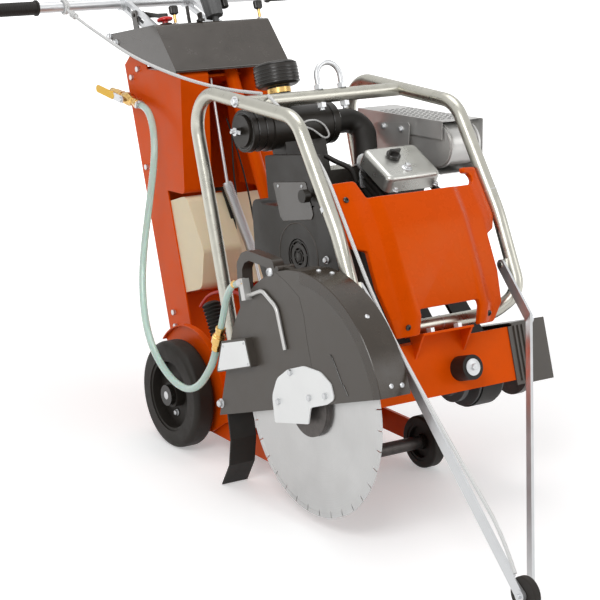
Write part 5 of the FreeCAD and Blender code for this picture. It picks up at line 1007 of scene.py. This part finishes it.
def make_guard_parts():
    piece("guard_rim", rim_strip(16, 90), "rim_brown", "guard_nose")
    screws = Form()
    for x, y, z in ((-278, -97, 274), (-262, -125, 273), (-278, -246, 169), (-285, -281, 21),
                    (-258, -295, 20)):
        outward = Vector((0, y, z)).normalized()
        screw_head(screws, RIGHT * x + outward * 299.6, outward, 5.5, 3.6)
    piece("rim_screws", screws, "zinc", "guard_nose")
    mark = [(-146, 104), (-151, 96), (-161, 68), (-170, 38), (-174, 38), (-181, 22), (-184, 14)]
    mark = Form().sweep([(GUARD_X - 0.6, y, z) for y, z in mark], 1.3, 10)
    piece("turn_mark", mark, "black_gloss", "guard_nose")
    sides = Form()
    screw_head(sides, (GUARD_X, 33, 300), LEFT, 10, 7)
    bolt(sides, (GUARD_X, 334, 27), LEFT, 15, 8, 11)
    piece("guard_bolts", sides, "zinc")

    plate = rounded([(296, 103), (255.5, 164), (157, 162), (152, 104)], 3)
    piece("blank_plate", Form().prism_x(plate, POCKET_X - 1.2, POCKET_X), "pale_zinc",
          bevel=0.4)
    rivets = Form()
    for y, z in ((288, 107), (252, 157), (162, 156), (158, 109)):
        screw_head(rivets, (POCKET_X - 1.2, y, z), LEFT, 3, 1.6)
    piece("plate_rivets", rivets, "zinc")
    elbow = Form().hexagon((-325, 151, 290), FORWARD, 17, 9)
    elbow.lathe((-325, 142, 290), (0, -1, -0.15), [
        (0, 7), (8, 7), (9, 8.2), (16, 8.2), (17, 5.5)], 28)
    elbow.lathe((-325, 176, 290), FORWARD, [(0, 8.4), (1, 9.2), (8, 9.2), (9, 8.4)], 28)
    piece("spray_elbow", elbow, "brass", bevel=0.5)


# ---------------------------------------------------------------- front moulding
COVER_FOLDS = ((0, -28), (95, -27.8), (101, -27.2), (106, -25.6), (117, -17.6), (122, -15.6),
               (128, -14.8), (158, -14.2), (165, -13.6), (172, -11.8), (205, 0))
LEG_LINE = ((165.0, -141.0), (353.0, -113.0), (621.0, -30.0))       # (z, y) of the front legs
KNEE = 14.0                         # half the height over which the moulding bends
FOOT_TOP = 152.0
FOOT_LEAN = 0.55
MOULD_SHEET = 7.0
MOULD_LIP = ((0.9, 0.35), (1.7, 1.1), (2.3, 2.2), (2.5, 3.6), (2.5, 13.0), (0.0, 13.0))
COVER_LEFT = ((-128, 420, 10), (-143, 461, 9), (-204.6, 461, 7), (-204.6, 345, 12),
              (-190, 318, 9), (-164, 308, 9), (-164, 222, 14), (-151, 150, 12), (-134, 113, 8),
              (-84, 113, 3), (-84, 168, 9))         # corners (x, z, radius)
COVER_RIGHT = ((0, 168, 0), (84, 168, 9), (84, 113, 3), (134, 113, 8), (151, 150, 12),
               (164, 222, 14), (164, 308, 9), (190, 318, 9), (204.6, 345, 12), (204.6, 461, 7),
               (161, 461, 3), (159, 453.5, 2), (174, 451, 6), (181, 441, 7), (180, 430, 9),
               (169, 420.5, 9), (0, 419, 0))


def cover_y(x, z):
    """Outer face of the moulding: folds across, the lean of the legs, and feet that turn in."""
    x = min(abs(x), COVER_FOLDS[-1][0])
    for (x0, y0), (x1, y1) in zip(COVER_FOLDS, COVER_FOLDS[1:]):
        if x <= x1:
            fold = y0 + (y1 - y0) * (x - x0) / (x1 - x0)
            break
    (z0, y0), (z1, y1), (z2, y2) = LEG_LINE
    low, high = (y1 - y0) / (z1 - z0), (y2 - y1) / (z2 - z1)
    near = (z - z1) / KNEE
    if abs(near) < 1:
        lean = y1 + KNEE * (low * -((1 - near) ** 2) / 4 + high * (1 + near) ** 2 / 4)
    else:
        lean = y1 + (low if near < 0 else high) * (z - z1)
    return fold + lean + max(0.0, FOOT_TOP - z) * FOOT_LEAN


def moulded_cover():
    """Outline cut along its folds, bent to cover_y(), with a lip turned back round its edge."""
    corners = COVER_RIGHT + COVER_LEFT
    outline = rounded([(x, z) for x, z, _ in corners], [radius for _, _, radius in corners])
    shape = bmesh.new()
    shape.faces.new([shape.verts.new((x, 0, z)) for x, z in outline])
    cuts = [(RIGHT * sign * x, RIGHT) for x, _ in COVER_FOLDS[1:-1] for sign in (-1, 1)]
    cuts += [(UP * z, UP) for z in (339, 346, 353, 360, 367, FOOT_TOP)]
    for place, normal in cuts:
        bmesh.ops.bisect_plane(shape, geom=shape.verts[:] + shape.edges[:] + shape.faces[:],
                               plane_co=place, plane_no=normal)
    shape.verts.index_update()
    following = {}
    for edge in shape.edges:
        if len(edge.link_faces) == 1:
            loop = edge.link_loops[0]
            following[loop.vert.index] = loop.link_loop_next.vert.index
    order = [next(iter(following))]
    while following[order[-1]] != order[0]:
        order.append(following[order[-1]])
    flat = [(v.co.x, v.co.z) for v in shape.verts]
    faces = [tuple(v.index for v in face.verts) for face in shape.faces]
    shape.free()

    turned = sum(flat[a][0] * flat[b][1] - flat[b][0] * flat[a][1]
                 for a, b in zip(order, order[1:] + order[:1]))
    way = 1 if turned > 0 else -1
    verts = [(x, cover_y(x, z), z) for x, z in flat]
    back = len(verts)
    verts += [(x, y + MOULD_SHEET, z) for x, y, z in verts]
    faces += [tuple(back + i for i in reversed(face)) for face in faces]
    rings = [order]
    for reach, depth in MOULD_LIP:
        rings.append(range(len(verts), len(verts) + len(order)))
        for n, i in enumerate(order):
            (xa, za), (xb, zb) = flat[order[n - 1]], flat[order[(n + 1) % len(order)]]
            length = math.hypot(xb - xa, zb - za)
            x, z = flat[i]
            verts.append((x + way * (zb - za) / length * reach, cover_y(x, z) + depth,
                          z - way * (xb - xa) / length * reach))
    rings.append([back + i for i in order])
    for inner, outer in zip(rings, rings[1:]):
        for n in range(len(order)):
            m = (n + 1) % len(order)
            faces.append((inner[n], inner[m], outer[m], outer[n]))
    return Form().add(verts, faces)


def make_front_parts():
    hub = Form().lathe((48, -149.8, 20), FORWARD, [(0, 19), (1.8, 19), (2.2, 18.4)])
    bolt(hub, (48, -152.0, 20), FORWARD, 14, 7)
    piece("bumper_bolt", hub, "zinc")
    pivots = Form()
    for way in (LEFT, RIGHT):
        bolt(pivots, (way.x * 200, -125, 232), way, 15, 7, 12)
    piece("pointer_bolts", pivots, "zinc", "pointer")
    piece("cover_moulding", moulded_cover(), "orange_plastic", angle=50,
          replaces=("front_cover",))
    screws = Form()
    for x, z, tilt in ((-178, 424, 0.3), (-112, 131, -0.5), (112, 131, -0.5)):
        screw_head(screws, (x, cover_y(x, z) - 0.3, z), (0, -1, tilt), 7.0, 4)
    piece("cover_screws", screws, "black_gloss")


# ---------------------------------------------------------------- frame and wheels
def make_frame_parts():
    sleeves = Form()
    for middle, run, wide in (((-HOOP_X, -92, 411), (0, -0.3, -0.95), 11),
                              ((HOOP_X, -98, 402), (0, -0.3, -0.95), 1.6),
                              ((21, -95, 128), (1, 0, 0), 1.6)):
        start = Vector(middle) - Vector(run) * wide / 2
        sleeves.band(start, run, 15.8, 16.6, wide)
    piece("tube_sleeves", sleeves, "zinc")
    caps = Form()
    for way in (LEFT, RIGHT):
        caps.lathe((way.x * 281.6, *REAR_AXLE), way, [
            (-1, 10), (0.6, 10), (1.4, 8.6), (1.4, 0.4)], 28)
        bolt(caps, (way.x * 246, 677, 11), way, 11, 6, 8)
    piece("axle_ends", caps, "zinc")


make_guard_parts()
make_front_parts()
make_frame_parts()
